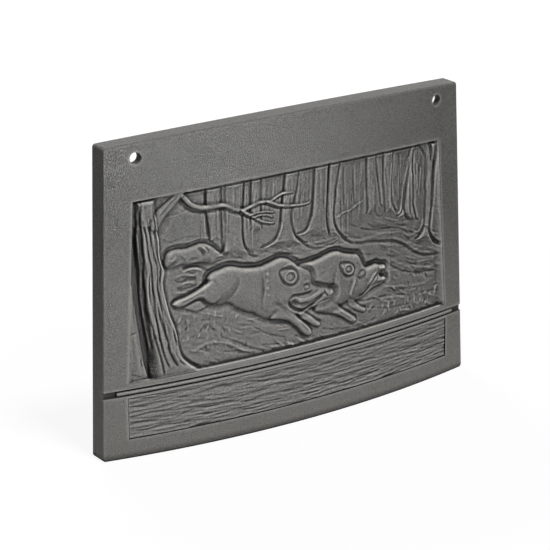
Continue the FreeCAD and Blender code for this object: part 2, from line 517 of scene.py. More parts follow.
@dataclass(frozen=True)
class PlateShape:
    """Outer form of the casting that every piece follows, in millimetres, front towards -Y.

    Attributes:
        width_foot: Width at the foot.
        width_head: Width at the head.
        height: Height at the sides.
        crown: How far the head is crowned in its middle.
        bow: How far the front is bowed out in its middle.
        setback: How far the front leans back from foot to head.
        front_round: Rounding of the front edges.
    """

    width_foot: float = 340.0
    width_head: float = 322.0
    height: float = 240.0
    crown: float = 6.5
    bow: float = 19.0
    setback: float = 6.5
    front_round: float = 1.5

    @property
    def lean(self) -> float:
        """How far the front leans back for each millimetre of height."""
        return self.setback / self.height

    @property
    def shift(self) -> float:
        """Place of the plate's own zero depth line in the shared frame."""
        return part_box("surround_plate")[0].y / MM + self.bow - self.lean * self.front_round

    def side(self, z: np.ndarray | float) -> np.ndarray | float:
        """Half width of the plate at a height."""
        return (self.width_foot + (self.width_head - self.width_foot) * z / self.height) / 2

    def rise(self, z: float, half: float) -> float:
        """How far a level line is crowned over its own half width."""
        return self.crown * z / self.height * (half / self.side(z)) ** 2

    def front(self, x: np.ndarray, z: np.ndarray, depth: np.ndarray | float) -> np.ndarray:
        """Points at a depth behind the bowed, leaning front.

        Args:
            x: Places across.
            z: Places up.
            depth: Depth behind the front.

        Returns:
            One row of X, Y and Z in metres for each point.
        """
        half = self.width_foot / 2
        radius = (half ** 2 + self.bow ** 2) / (2 * self.bow)
        y = radius - self.bow - np.sqrt(radius ** 2 - x ** 2) + depth + self.lean * z + self.shift
        return np.stack([x, y, z], -1) * MM


@dataclass
class LetInPanel:
    """Closed panel on a grid that follows its own outline, with a carved front.

    Attributes:
        plate: Form of the casting.
        name: Name of the piece.
        node: Node of the frame that it stands for.
        foot: Height of its lower edge.
        head: Height of its upper edge.
        half_foot: Half width at the lower edge.
        half_head: Half width at the upper edge.
        front_depth: Depth of its uncarved front.
        back_depth: Depth of its back.
        step: Spacing of the grid.
        wear_and_shade_scales: How strongly hollows are darkened and proud places brightened, partly as
            graphite and rubbed iron, partly as painted shade and highlight, and how wide they are, for each
            kind of them.
    """

    plate: PlateShape
    name: str
    node: str
    foot: float
    head: float
    half_foot: float
    half_head: float
    front_depth: float
    back_depth: float
    step: float
    wear_and_shade_scales: tuple[tuple[float, int], ...] = ()

    def grid(self) -> tuple[np.ndarray, np.ndarray]:
        """Lay the grid out.

        Returns:
            Places across and up, each as rows from foot to head.
        """
        columns = round(2 * self.half_foot / self.step) + 1
        rows = round((self.head - self.foot) / self.step) + 1
        s, t = np.meshgrid(np.linspace(-1, 1, columns), np.linspace(0, 1, rows))
        low = self.foot + self.plate.rise(self.foot, self.half_foot) * (1 - s ** 2)
        high = self.head + self.plate.rise(self.head, self.half_head) * (1 - s ** 2)
        return s * (self.half_foot + (self.half_head - self.half_foot) * t), low + (high - low) * t

    def solid(self, height: np.ndarray) -> bpy.types.Object:
        """Build the closed panel.

        Args:
            height: Carved height at each grid point.

        Returns:
            The new object, linked to the scene and riding on the casting.
        """
        x, z = self.grid()
        rows, columns = x.shape
        front = self.plate.front(x.ravel(), z.ravel(), self.front_depth - height.ravel())
        ends = np.array([0, rows - 1])
        back = self.plate.front(x[ends].ravel(), z[ends].ravel(), self.back_depth)
        number = np.arange(rows * columns).reshape(rows, columns)
        low, high = (rows * columns + k * columns + np.arange(columns) for k in (0, 1))
        corners = [number[:-1, :-1], number[:-1, 1:], number[1:, 1:], number[1:, :-1]]
        quads = np.stack(corners, -1).reshape(-1, 4)
        skirts = [
            np.stack([low[:-1], low[1:], number[0, 1:], number[0, :-1]], -1),
            np.stack([number[-1, :-1], number[-1, 1:], high[1:], high[:-1]], -1),
            np.stack([low[1:], low[:-1], high[:-1], high[1:]], -1),
        ]
        sides = [[low[0], *number[:, 0], high[0]], [high[-1], *number[::-1, -1], low[-1]]]
        faces = np.vstack([quads, *skirts]).tolist() + [[int(i) for i in side] for side in sides]
        mesh = bpy.data.meshes.new(self.name)
        mesh.from_pydata(np.vstack([front, back]).tolist(), [], faces)
        smooth = np.zeros(len(faces), bool)
        smooth[:len(quads)] = True
        mesh.polygons.foreach_set("use_smooth", smooth)
        mesh.update()
        piece = linked(self.name, mesh)
        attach(piece, BODY)
        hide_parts(self.node)
        return piece

    def wear_and_shade(self, height: np.ndarray) -> np.ndarray:
        """Tell hollows from places that stand proud, for darkening and brightening that is partly graphite
        and rubbed iron, partly painted shade and highlight.

        Args:
            height: Carved height at each grid point.

        Returns:
            Positive where a point stands proud and negative in a hollow.
        """
        # Hollows go darker and proud places brighter in the finish: partly graphite and rubbed iron, partly
        # painted shade and highlight.
        return sum(gain * hollows(height, passes) for gain, passes in self.wear_and_shade_scales)

    def mark(self, piece: bpy.types.Object, values: np.ndarray) -> None:
        """Store how hollow or proud each front point is, with any painted shade and highlight added, for the
        finish to read.

        Args:
            piece: The panel.
            values: One value for each grid point.
        """
        relief = np.zeros(len(piece.data.vertices), np.float32)
        relief[:values.size] = values.ravel()
        attribute = piece.data.attributes.new(RELIEF, "FLOAT", "POINT")
        attribute.data.foreach_set("value", relief)


RIDGE, GROOVE, FOLD = Cut.RIDGE, Cut.GROOVE, Cut.FOLD

# The drawing of the scene, in millimetres across from the centre line and up from the foot of the plate

# Edges of the old trunk from head to foot
TRUNK_LEFT = [(-141.5, 206), (-140.5, 170), (-139.5, 150), (-138.5, 135), (-137, 115), (-135, 97),
              (-132.5, 78), (-131, 54)]
TRUNK_RIGHT = [(-123.5, 206), (-123, 185), (-121.5, 170), (-121, 155), (-119.5, 148), (-116.5, 141),
               (-118, 134), (-118, 125), (-114.5, 108), (-110, 95), (-106, 75), (-100, 67), (-91, 60),
               (-88, 54)]

# Saw cuts at the heads of the old trunk and of the last tree
SAWN_HEAD = [
    Stroke(GROOVE, 1.7, 3.6, [(-144, 197.6), (-137, 197.8), (-130, 198.1), (-121, 198.5)]),
    Stroke(RIDGE, 1.4, 0.6, [(-140, 194.6), (-132, 194.9), (-124, 195.2)]),
    Stroke(GROOVE, 1.2, 2.2, [(127, 197.4), (133, 197), (138.5, 196.4)]),
]

# Bank left of the old trunk, the gap between them, and the knot and cracks of both
TRUNK_BANK = [(-150, 55), (-133, 55), (-135, 75), (-138, 100), (-141, 122), (-144, 135), (-147, 115),
              (-149, 90)]

TRUNK_GAP = Stroke(GROOVE, 8.0, 3.2, TRUNK_LEFT)

TRUNK_MARKS = [
    Stroke(GROOVE, 1.4, 1.0, [(-121, 148), (-117.5, 143.5), (-120.5, 138)]),
    Stroke(GROOVE, 0.9, 0.8, [(-149, 97.5), (-145, 97), (-140, 97.5)]),
    Stroke(GROOVE, 0.9, 1.2, [(-137.2, 77), (-137.6, 73), (-136.6, 69)]),
    Stroke(RIDGE, 1.0, 0.4, [(-146, 92), (-145.5, 80), (-146, 68)]),
    Stroke(GROOVE, 0.8, 0.6, [(-147, 66), (-142, 63.5), (-137, 62.5)]),
]

# Left and right edge of each tree of the wood, from head to foot
WOOD = [
    ([(-83, 208), (-82.5, 188), (-80.5, 172), (-79, 158)], [(-71.5, 208), (-71, 185), (-70.5, 158)]),
    ([(-67, 208), (-67, 185), (-66.5, 165), (-68, 150), (-73, 146)],
     [(-51.5, 208), (-52, 185), (-52.5, 165), (-51, 150), (-45, 142)]),
    ([(-45, 208), (-45, 180), (-44, 160)], [(-36.8, 208), (-37, 185), (-36, 160)]),
    ([(-15, 208), (-15.5, 188), (-17.5, 172), (-19, 160), (-24, 150), (-34, 145)],
     [(-3, 208), (-4, 188), (-8.5, 168), (-8, 156), (-5, 148.5), (3, 141)]),
    ([(11.8, 208), (11.5, 185), (10.5, 168), (8, 158), (4, 152), (-2, 149.5)],
     [(25, 208), (24.5, 180), (23.5, 158), (26, 144)]),
    ([(26.5, 208), (26, 180), (26, 160), (27, 144)],
     [(37, 208), (34, 188), (32, 170), (31, 156), (35, 144.5), (43, 137)]),
    ([(62.5, 208), (63, 185), (64.5, 165), (65, 153)], [(72, 208), (73, 188), (76, 170), (78, 155)]),
    ([(80, 208), (80.5, 185), (82, 165), (84, 150)], [(89.5, 208), (89.5, 180), (89, 160), (94, 147)]),
    ([(109.5, 199), (107.5, 188), (105, 178), (103, 167), (102, 155), (101, 148), (96, 143.5)],
     [(113.5, 199), (112, 188), (112, 180), (113.5, 168), (114, 156), (113.5, 149), (115, 142), (117, 136)]),
    ([(121, 201), (127, 189), (128.8, 177), (128.5, 165), (127.5, 150), (126.5, 135), (124.5, 127),
      (117, 120)],
     [(141, 201), (138.5, 190), (136.3, 180), (135.5, 172), (134.8, 160), (134.5, 148), (133, 136),
      (132, 126), (134, 119.5), (139, 114), (147, 109.5)]),
]

# Lines beside and between the trees
WOOD_LINES = [
    Stroke(GROOVE, 1.4, 0.9, [(-83.5, 200), (-83, 188), (-81.5, 172), (-80, 160)]),
    Stroke(GROOVE, 1.3, 0.8, [(-70, 200), (-69.5, 180), (-69.5, 156), (-69, 148)]),
    Stroke(GROOVE, 1.2, 0.9, [(-51, 201), (-51.5, 180), (-52, 160), (-50, 148), (-45, 141.5), (-38, 139.5)]),
    Stroke(GROOVE, 1.1, 0.7, [(-45.5, 201), (-45.5, 180), (-44.5, 165)]),
    Stroke(GROOVE, 1.1, 0.7, [(-36.5, 201), (-36.3, 185), (-35.5, 168)]),
    Stroke(GROOVE, 1.2, 0.8, [(-15.3, 201), (-16, 188), (-18, 172), (-19.5, 161)]),
    Stroke(RIDGE, 1.0, 0.7, [(-34, 145), (-28, 147.5), (-23, 151), (-19.5, 157), (-18, 163)]),
    Stroke(GROOVE, 1.2, 0.9, [(-3, 201), (-4, 188), (-8.5, 168), (-8, 156), (-5, 148.5), (2, 142),
                              (8, 137.5)]),
    Stroke(RIDGE, 0.9, 0.7, [(-3, 150), (2, 150.5), (6, 154), (8.5, 160)]),
    Stroke(GROOVE, 1.1, 0.8, [(11.6, 201), (11.5, 185), (10.8, 170), (9.5, 160)]),
    Stroke(GROOVE, 1.3, 1.0, [(25.3, 201), (25, 182), (24, 160), (25, 150), (28, 142)]),
    Stroke(GROOVE, 1.5, 1.1, [(36.5, 201), (34, 188), (32.3, 172), (31, 156), (33, 148), (38, 141), (45, 135),
                              (51, 132)]),
    Stroke(GROOVE, 0.9, 0.5, [(40, 196), (40.5, 180), (41.5, 164)]),
    Stroke(GROOVE, 0.9, 0.6, [(50, 193), (50.5, 175), (52, 163)]),
    Stroke(RIDGE, 1.0, 0.5, [(33, 156), (40, 159), (48, 160), (54, 163), (61, 165)]),
    Stroke(GROOVE, 1.1, 0.8, [(62.3, 201), (62.8, 185), (64, 168), (65, 155)]),
    Stroke(GROOVE, 1.2, 0.8, [(71.5, 201), (73, 188), (76, 172), (78, 157)]),
    Stroke(GROOVE, 1.0, 0.7, [(79.8, 201), (80.3, 185), (81.5, 168), (83, 158)]),
    Stroke(GROOVE, 1.0, 0.6, [(72.5, 160), (73, 153), (76, 149), (81, 148)]),
    Stroke(GROOVE, 1.1, 0.7, [(89.8, 201), (89.5, 180), (90, 163), (93, 152), (97, 147)]),
    Stroke(RIDGE, 0.8, 0.5, [(88, 190), (87.5, 170), (87, 152)]),
    Stroke(GROOVE, 0.9, 0.5, [(97, 195), (98, 180), (99, 168)]),
    Stroke(RIDGE, 1.0, 0.9, [(108, 192), (105, 180), (102.5, 168), (100.5, 155), (98, 148), (95, 145)]),
    Stroke(GROOVE, 1.3, 1.3, [(109, 186), (106.5, 176), (104.5, 165), (103.3, 154), (103, 148), (105, 142),
                              (109, 139)]),
    Stroke(RIDGE, 0.8, 0.6, [(107, 170), (106.5, 158), (106.5, 148), (108.5, 142), (111, 140)]),
    Stroke(RIDGE, 0.8, 0.7, [(110, 178), (110, 165), (110.5, 152), (111, 142)]),
    Stroke(GROOVE, 1.4, 1.4, [(112.3, 196), (112, 182), (113, 170), (113.5, 158), (113.5, 150), (115.5, 142),
                              (116.5, 136)]),
    Stroke(RIDGE, 0.8, 0.5, [(117, 184), (117, 172), (118, 160)]),
    Stroke(RIDGE, 0.9, 0.6, [(121.5, 180), (120.5, 168), (119.5, 155)]),
    Stroke(GROOVE, 1.3, 1.2, [(115, 201), (120, 196), (124, 190.5), (126.5, 184), (127, 172), (126.5, 158)]),
    Stroke(GROOVE, 2.2, 2.2, [(128, 201), (130.5, 195), (132.5, 187), (133, 180)]),
    Stroke(GROOVE, 2.0, 2.6, [(138, 198), (137, 186), (135.6, 173), (135, 160), (134.5, 147), (133, 136),
                              (131.8, 126), (133.5, 120), (138, 114.5), (146, 109.5)]),
    Stroke(GROOVE, 1.5, 1.2, [(127, 197), (133, 196.5), (138.5, 196)]),
    Stroke(RIDGE, 0.9, 0.5, [(140, 170), (140, 150), (142, 130)]),
    Stroke(RIDGE, 1.0, 0.6, [(112, 128), (118, 127), (122, 130), (124.5, 137)]),
]

# Long sweeps of the ground
SWEEPS = [
    Stroke(GROOVE, 1.5, 1.0, [(49, 132.8), (56, 131.3), (66, 130.3), (78, 128), (90, 125.5), (98, 122),
                              (106, 117.5), (113, 112), (122, 107), (132, 104), (146, 103)]),
    Stroke(RIDGE, 1.2, 0.5, [(90, 128.5), (99, 124.5), (107, 119.5), (114, 114.5), (123, 109.5), (134, 106)]),
    Stroke(GROOVE, 1.0, 0.6, [(46, 149), (55, 144), (64, 140.5), (76, 138), (90, 136.5)]),
    Stroke(GROOVE, 1.0, 0.6, [(64, 145), (72, 140.5), (84, 137.5), (96, 135), (104, 131), (109, 127)]),
    Stroke(RIDGE, 1.1, 0.5, [(72, 136), (84, 133.5), (96, 131), (104, 127.5), (110, 125.5), (117, 126.5)]),
    Stroke(GROOVE, 1.0, 0.6, [(92, 131.5), (101, 129), (107, 124.5), (111, 121.5)]),
    Stroke(GROOVE, 0.9, 0.5, [(-34, 143), (-24, 139.5), (-14, 141), (-6, 145)]),
    Stroke(GROOVE, 1.0, 0.6, [(4, 141), (9, 137.5), (17, 135.5), (28, 136), (36, 138)]),
    Stroke(GROOVE, 0.9, 0.5, [(9, 142), (15, 139), (24, 138.5), (33, 139.5)]),
    Stroke(GROOVE, 1.2, 0.7, [(86, 108), (94, 102.5), (104, 97.5), (118, 93), (140, 90)]),
    Stroke(RIDGE, 1.3, 0.5, [(88, 111), (98, 105.5), (110, 100), (126, 96), (146, 94.5)]),
    Stroke(GROOVE, 1.0, 0.6, [(52, 85.5), (60, 83.2), (72, 82.8), (84, 82), (98, 79.5), (112, 76)]),
    Stroke(RIDGE, 1.2, 0.4, [(82, 90), (96, 87), (112, 83.5), (130, 82)]),
    Stroke(GROOVE, 0.9, 0.4, [(62, 78), (74, 74), (90, 71), (110, 69)]),
    Stroke(RIDGE, 1.4, 0.5, [(-98, 74), (-84, 79), (-70, 77), (-56, 70), (-44, 64)]),
    Stroke(GROOVE, 1.1, 0.7, [(-72, 82), (-60, 76), (-48, 69), (-34, 63)]),
    Stroke(GROOVE, 1.0, 0.5, [(-46, 86), (-36, 79), (-26, 74), (-14, 70)]),
    Stroke(RIDGE, 1.2, 0.4, [(-30, 66), (-10, 63.5), (14, 64.5), (36, 63)]),
    Stroke(GROOVE, 1.0, 0.4, [(18, 70), (34, 66), (52, 64.5), (76, 66)]),
    Stroke(GROOVE, 0.9, 0.4, [(-118, 166), (-112, 162.5), (-100, 164.5), (-88, 163)]),
    Stroke(RIDGE, 0.9, 0.4, [(-116, 181), (-106, 182.5), (-96, 184.5)]),
]

# Outlines of the rear boar, the front boar and the hound
REAR_BODY = [(-6, 120), (-2, 126), (3, 126.2), (10, 126.7), (16, 127.7), (22, 129.2), (28, 130.2),
             (34, 129.7), (38, 127.8), (43, 125.8), (48, 124.4), (53, 123.3), (55.5, 120.8),
             (57.5, 117.3), (59.5, 113.2), (62, 110.8), (67, 110.8), (72, 111.2), (76.5, 109.4),
             (80.5, 108.8), (82.5, 107), (82.5, 104.5), (80.5, 103), (76.5, 101.6), (78.5, 99.2),
             (81.5, 98.7), (83.5, 96.5), (81.5, 94), (76, 92.5), (68, 91), (63, 88.5), (57, 86),
             (50, 85.2), (44, 86.5), (36, 85), (24, 84), (12, 88), (0, 100)]
REAR_FORELEG = [(20, 94), (33, 86.5), (40, 80.5), (46, 76.2), (50, 73), (52, 70.2), (50, 68), (46, 68.8),
                (42, 71.6), (38, 74.6), (33, 77.6), (27, 80), (20, 82), (12, 86)]
REAR_FAR_FORELEG = [(44, 88), (50, 86), (54, 82), (58, 79), (62, 76.6), (60.5, 74), (56, 75.2),
                    (51, 78.2), (45, 83)]
FRONT_BODY = [(-84, 125), (-82.5, 130.5), (-79, 133.6), (-73, 135.2), (-66, 136.4), (-60, 135.5),
              (-54, 133.5), (-46, 132), (-40, 131.5), (-34, 132), (-28, 133.4), (-22, 134.9),
              (-17, 134.5), (-12, 132.5), (-8, 129.6), (-4, 126.2), (0, 123.2), (4, 121.2), (6.8, 118.8),
              (7.8, 116), (7.8, 112), (9, 108.4), (15, 105.2), (20, 103.4), (24.5, 102), (27.5, 101.3),
              (29.5, 99.5), (30, 97), (29, 94.5), (26.5, 92.6), (20, 91), (14, 90.3), (8, 89), (3, 86.6),
              (-3, 85.5), (-9, 84.5), (-20, 84.8), (-28, 86.8), (-35, 89), (-40, 92.3), (-44, 95.2),
              (-50, 97.5), (-55, 100), (-60, 103.4), (-66, 107.6), (-70, 107.2), (-75, 107.4), (-80, 109),
              (-84, 112), (-87, 117), (-86.5, 121.5)]
HIND_LEG = [(-78, 128), (-84, 126.3), (-88, 124.4), (-95, 121.3), (-102, 119), (-109, 117.2), (-112, 114),
            (-108, 111), (-102, 111.4), (-96, 113.8), (-92, 115.3), (-88, 114.4), (-84, 111.4), (-78, 109.5),
            (-73, 116)]
FAR_HIND_LEG = [(-103, 110.2), (-97, 107.2), (-92, 105.8), (-87, 106.8), (-80, 110), (-86, 114), (-95, 113.5)]
FORELEG = [(-30, 88.5), (-20, 85.5), (-14, 82.6), (-9.5, 79), (-5.5, 75.2), (-2, 71), (2, 68), (5.5, 67.2),
           (8, 69.5), (7, 72.6), (4, 76.2), (0, 80.2), (-4, 84), (-10, 89), (-20, 95)]
FAR_FORELEG = [(-4, 88), (2, 86.8), (8, 82.5), (12, 79), (16, 76), (17, 74), (15.5, 72.5), (12, 73),
               (8, 75.4), (3, 79), (-3, 83)]
HOUND = [(-117, 145), (-116.5, 150), (-115, 154), (-112, 156), (-108, 156.8), (-100, 156.2), (-94, 157.2),
         (-88, 158.2), (-82, 156.8), (-77, 153.4), (-73, 149.2), (-67.5, 145), (-70, 143.2), (-75, 141.6),
         (-79, 140.4), (-84, 142), (-91, 142.8), (-98, 142.6), (-104, 143.5), (-110, 142.5), (-115, 142.5)]

# Animals from back to front: rise, edge, moat, moat width and dome of each form
FIGURES = [
    Figure(HOUND, 1.7, 5.0, 1.3, 3.8, 0.8),
    Figure(REAR_FAR_FORELEG, 1.3, 2.2, 0.5, 2.2),
    Figure(REAR_FORELEG, 2.0, 3.6, 0.9, 2.4),
    Figure(REAR_BODY, 1.7, 5.0, 1.9, 4.6, 0.9, belly=11.0),
    Figure(FAR_HIND_LEG, 1.2, 2.0, 0.6, 2.0),
    Figure(FAR_FORELEG, 1.6, 2.4, 0.6, 2.2),
    Figure(FRONT_BODY, 1.9, 5.5, 1.9, 4.8, 1.0, belly=13.0),
    Figure(HIND_LEG, 2.6, 3.4, 0.9, 2.2, 0.5, joined=True),
    Figure(FORELEG, 2.5, 3.4, 0.9, 2.4, 0.4, joined=True),
]

# Tail, folds, ears, eyes and jaws of the boars
BOAR_LINES = [
    Stroke(GROOVE, 1.8, 1.2, [(-103, 140), (-98, 141.5), (-93, 141.5), (-88, 140), (-84, 137.5), (-81, 135)]),
    Stroke(RIDGE, 1.0, 0.7, [(-104, 138), (-96, 139.4), (-90, 138.6), (-86, 136)]),
    Stroke(FOLD, 9.0, 1.7, [(-70, 106), (-66, 110.5), (-61, 116), (-57.5, 123), (-60, 130)]),
    Stroke(FOLD, 7.0, 1.2, [(-38, 94), (-37.5, 104), (-36, 112), (-36.5, 122), (-38, 131)]),
    Stroke(GROOVE, 2.0, 0.5, [(-30, 102), (-22, 98), (-18, 94), (-13, 88)]),
    Stroke(GROOVE, 1.4, 1.1, [(-21.5, 125), (-15, 126.2), (-9, 124.6), (-5.3, 120.5), (-5, 115.5),
                              (-9, 112.2), (-14, 112.8), (-18.5, 116), (-21, 120.5)], True),
    Stroke(RIDGE, 0.9, 0.6, ellipse((-12.3, 119), 4.9, 4.3, -20), True),
    Stroke(GROOVE, 0.7, 0.8, ellipse((-12.3, 119), 3.6, 3.1, -20), True),
    Stroke(GROOVE, 0.6, 0.6, ellipse((-12.3, 119), 1.9, 1.7, -20), True),
    Stroke(RIDGE, 1.3, 0.5, [(-19, 127), (-12, 129), (-5, 125.5)]),
    Stroke(GROOVE, 0.8, 0.4, ellipse((3, 107.6), 3.0, 2.3), True),
    Stroke(RIDGE, 1.4, 0.5, [(-2, 111), (3, 112), (7, 110.5)]),
    Stroke(GROOVE, 2.0, 1.9, [(-13.5, 101), (-13, 97), (-10, 93.5), (-6, 91), (-1, 89.3), (5, 90.5),
                              (11, 93.5), (16, 97), (20, 100.5)]),
    Stroke(GROOVE, 1.5, 1.4, [(-13.5, 101), (-9, 103), (-3, 102.5), (4, 102.6), (9, 103.6)]),
    Stroke(RIDGE, 1.9, 1.3, [(-9, 100), (-2, 97.8), (5, 98), (11, 100), (16, 102)]),
    Stroke(GROOVE, 1.2, 1.1, [(20, 103.4), (20, 100.6), (21.5, 98), (24, 95.6)]),
    Stroke(GROOVE, 1.0, 0.6, [(-2, 89), (8, 91.2), (18, 93), (26, 94.5)]),
    Stroke(GROOVE, 1.0, 0.5, [(-86, 121), (-92, 119), (-99, 116.5), (-106, 115)]),
    Stroke(GROOVE, 0.9, 0.5, [(-3, 80), (1, 75.5), (4.5, 71)]),
    Stroke(GROOVE, 0.9, 0.5, [(34, 81), (40, 76.5), (47, 71.5)]),
    Stroke(FOLD, 7.0, 1.1, [(34, 89), (30, 100), (29, 108), (32, 120)]),
    Stroke(GROOVE, 1.4, 1.1, [(35, 119), (40, 119.6), (46, 117.5), (49.5, 113.5), (48.5, 109), (44, 107.5),
                              (39.5, 109.5), (36.5, 114)], True),
    Stroke(RIDGE, 0.9, 0.6, ellipse((43, 113.6), 4.5, 3.7, -25), True),
    Stroke(GROOVE, 0.7, 0.7, ellipse((43, 113.6), 3.1, 2.6, -25), True),
    Stroke(GROOVE, 0.6, 0.5, ellipse((43, 113.6), 1.6, 1.4, -25), True),
    Stroke(GROOVE, 0.9, 0.6, ellipse((57, 106.4), 3.8, 3.0, 25), True),
    Stroke(RIDGE, 1.6, 1.1, [(50.5, 107), (48.5, 102), (46.5, 97), (45.3, 93), (46.5, 89)]),
    Stroke(GROOVE, 2.0, 1.9, [(75.5, 101.8), (71, 101.5), (67.5, 97.5), (64, 93), (59.5, 89.5), (53, 88.5)]),
    Stroke(RIDGE, 1.6, 1.1, [(74, 104.5), (69, 103.5), (65.5, 99.5), (62, 95)]),
    Stroke(GROOVE, 1.0, 0.7, [(74, 110), (74.5, 107), (77, 104.5)]),
    Stroke(GROOVE, 1.1, 0.7, [(75, 101), (72, 97), (68, 94.4), (74, 95.2), (80, 96.2)]),
]

# Middle, radius and height of the swellings and hollows on the boars
BOAR_SPOTS = [
    ((-12.3, 119), 1.7, 0.8), ((3, 107.6), 1.7, 0.7), ((-8, 96.3), 4.6, -1.6), ((0, 95), 4.6, -0.8),
    ((27, 98.4), 2.6, 0.8), ((-33, 125), 2.2, 1.0), ((-33, 119.5), 1.7, 0.8), ((-33, 114), 2.0, 0.9),
    ((-32, 108), 1.7, 0.7), ((43, 113.6), 1.5, 0.7), ((37.2, 116.6), 1.5, 0.7), ((51, 118), 1.3, 0.6),
    ((57, 106.6), 1.8, 0.7),
    ((80.2, 106.4), 2.6, 0.9), ((-19, 105), 7.0, 0.7), ((-71, 122), 14.0, 1.1), ((-47, 114), 14.0, -0.5),
    ((-26, 122), 9.0, 0.5), ((22, 114), 13.0, 0.6), ((-12.3, 119), 9.0, 0.9), ((43, 113.6), 8.5, 0.9),
    ((18, 101), 7.0, 0.7), ((66, 105), 7.0, 0.7), ((-8, 97), 6.0, -0.8), ((56, 96), 7.0, 0.6),
    ((24, 97), 4.5, 0.6),
]

# Ear, jaw and haunch of the hound
HOUND_LINES = [
    Stroke(GROOVE, 1.3, 1.1, [(-91, 155.6), (-88.5, 153.6), (-86.5, 150.5), (-85.5, 147.5)]),
    Stroke(RIDGE, 1.0, 0.9, [(-88, 155.8), (-84.5, 153.2), (-82.8, 150)]),
    Stroke(GROOVE, 0.8, 0.8, [(-85.2, 155), (-82.6, 152.6), (-81.4, 150)]),
    Stroke(RIDGE, 0.8, 0.8, [(-82.8, 155), (-80.2, 152.8)]),
    Stroke(GROOVE, 1.1, 1.0, [(-67.5, 145.2), (-72, 144.6), (-76.5, 144.2)]),
    Stroke(RIDGE, 0.9, 0.6, [(-69, 147), (-74, 149), (-78, 151.5)]),
    Stroke(FOLD, 6.0, 1.3, [(-100.5, 142.5), (-101.5, 147), (-104.5, 150.6), (-109, 152)]),
    Stroke(GROOVE, 2.4, 1.3, [(-116, 144), (-111.5, 144.6), (-107.5, 147.6), (-106, 150)]),
    Stroke(RIDGE, 1.0, 0.7, [(-115, 148.5), (-111, 149), (-108, 151.5)]),
    Stroke(GROOVE, 1.6, 0.8, [(-99, 146), (-94, 147.5), (-89, 146.5)]),
]

# Boughs: centre line from the thick end, half width at both ends, and height; the old one is the trunk's own
OLD_BOUGH = ([(-124, 178), (-118, 186), (-112, 191.5), (-104, 199.5)], 4.4, 3.4, 2.3)
OLD_BOUGH_LINE = Stroke(GROOVE, 1.0, 0.8, [(-121, 183), (-113, 191.5), (-105, 199)])

BOUGHS = [
    ([(-104.5, 199), (-100.5, 195), (-95.5, 189.4), (-90, 186.4), (-84, 184.9), (-70, 184.6), (-65, 183),
      (-58, 179.4), (-50, 176.8)], 2.3, 1.6, 2.0),
    ([(-52, 177.2), (-45, 179.5), (-38, 181.4), (-31, 180.8), (-27, 181), (-22, 183.4), (-16, 184.8),
      (-8, 184.4)], 1.5, 0.8, 1.7),
    ([(-30, 180.6), (-25, 178.4), (-20, 176), (-9, 173.8), (2, 172.9), (8, 173.2)], 1.4, 0.7, 1.6),
    ([(-52, 177), (-47, 173.6), (-42, 170.8), (-36, 166.4), (-30, 164.2), (-25, 163.2)], 1.5, 0.7, 1.6),
    ([(-46.5, 172.8), (-40, 173.4), (-32, 173), (-25, 171.4)], 0.9, 0.6, 1.1),
    ([(-43, 170.6), (-36, 171), (-30, 170), (-26, 168)], 0.8, 0.6, 1.0),
]

# Shaggy curls between the hound and the front boar's hind leg
PELT = [
    Stroke(RIDGE, 1.3, 0.8, [(-110, 134), (-103, 136), (-95, 134.5), (-89, 136)]),
    Stroke(GROOVE, 1.0, 0.7, [(-110, 132.5), (-104, 130.5), (-97, 132.3), (-91, 131)]),
    Stroke(RIDGE, 1.4, 0.8, [(-106, 128.5), (-99, 129.6), (-92, 127.8)]),
    Stroke(GROOVE, 1.0, 0.7, [(-109, 126.5), (-102, 125), (-95, 125.5), (-90, 127)]),
    Stroke(RIDGE, 1.2, 0.6, [(-110, 123), (-104, 122.6), (-98, 123.4)]),
]


@dataclass(frozen=True)
class Patch:
    """Patch of ground that is strewn with strokes.

    Attributes:
        low: Its lower left corner.
        high: Its upper right corner.
        count: Number of strokes on it.
        lean: How far a blade of grass leans to the right for each millimetre of its height.
    """

    low: Point
    high: Point
    count: int
    lean: float = 0.0


# The open ground, and the patches where grass grows
SOIL = Patch((-110, 60), (146, 150), 300)

GRASS = [
    Patch((-112, 80), (-62, 98), 50, 0.1),
    Patch((-105, 62), (-40, 76), 26, -0.8),
    Patch((-30, 60), (30, 66), 24, -0.8),
    Patch((62, 60), (145, 76), 70, 0.0),
    Patch((84, 78), (145, 100), 36, -0.9),
]


@dataclass(frozen=True)
class Streaks:
    """Upright streaks between the trees of the wood; a span holds the least and the greatest value.

    Attributes:
        across: Left and right end of the wood.
        step: Distance from streak to streak.
        top: Height of a streak's upper end.
        length: Length of a streak.
        sway: How far it sways sideways.
        half_width: Half of its width.
        size: Its height or depth.
        ridges: Share of the streaks that are ridges.
    """

    across: Span = (-86.0, 146.0)
    step: float = 1.7
    top: Span = (168.0, 200.0)
    length: Span = (10.0, 34.0)
    sway: Span = (-1.0, 1.0)
    half_width: float = 0.8
    size: Span = (0.1, 0.5)
    ridges: float = 0.4


@dataclass(frozen=True)
class Bark:
    """Long lines of the old trunk's bark; a span holds the least and the greatest value.

    Attributes:
        lines: Number of lines, ridges and grooves in turn.
        first: Share of the trunk's width at which the first line lies.
        spread: Share of the width over which the lines are spread.
        samples: Number of points along a line.
        spacing: Spacing of the samples along the trunk's edges.
        phase: Start of a line's waves.
        head: Share of the trunk's height, from its head, at which a line starts.
        foot: Share of the height at which it ends.
        waves: Size of each wave in widths of the trunk, and what it takes of the phase and the height.
        half_width: Half of a line's width.
        size: Its height or depth.
    """

    lines: int = 17
    first: float = 0.12
    spread: float = 0.8
    samples: int = 15
    spacing: float = 4.0
    phase: Span = (0.0, 6.0)
    head: Span = (0.0, 0.25)
    foot: Span = (0.75, 1.0)
    waves: tuple[Triple, ...] = ((0.04, 1.0, 9.0), (0.02, 2.0, 23.0))
    half_width: Span = (0.7, 1.1)
    size: Span = (0.9, 1.9)


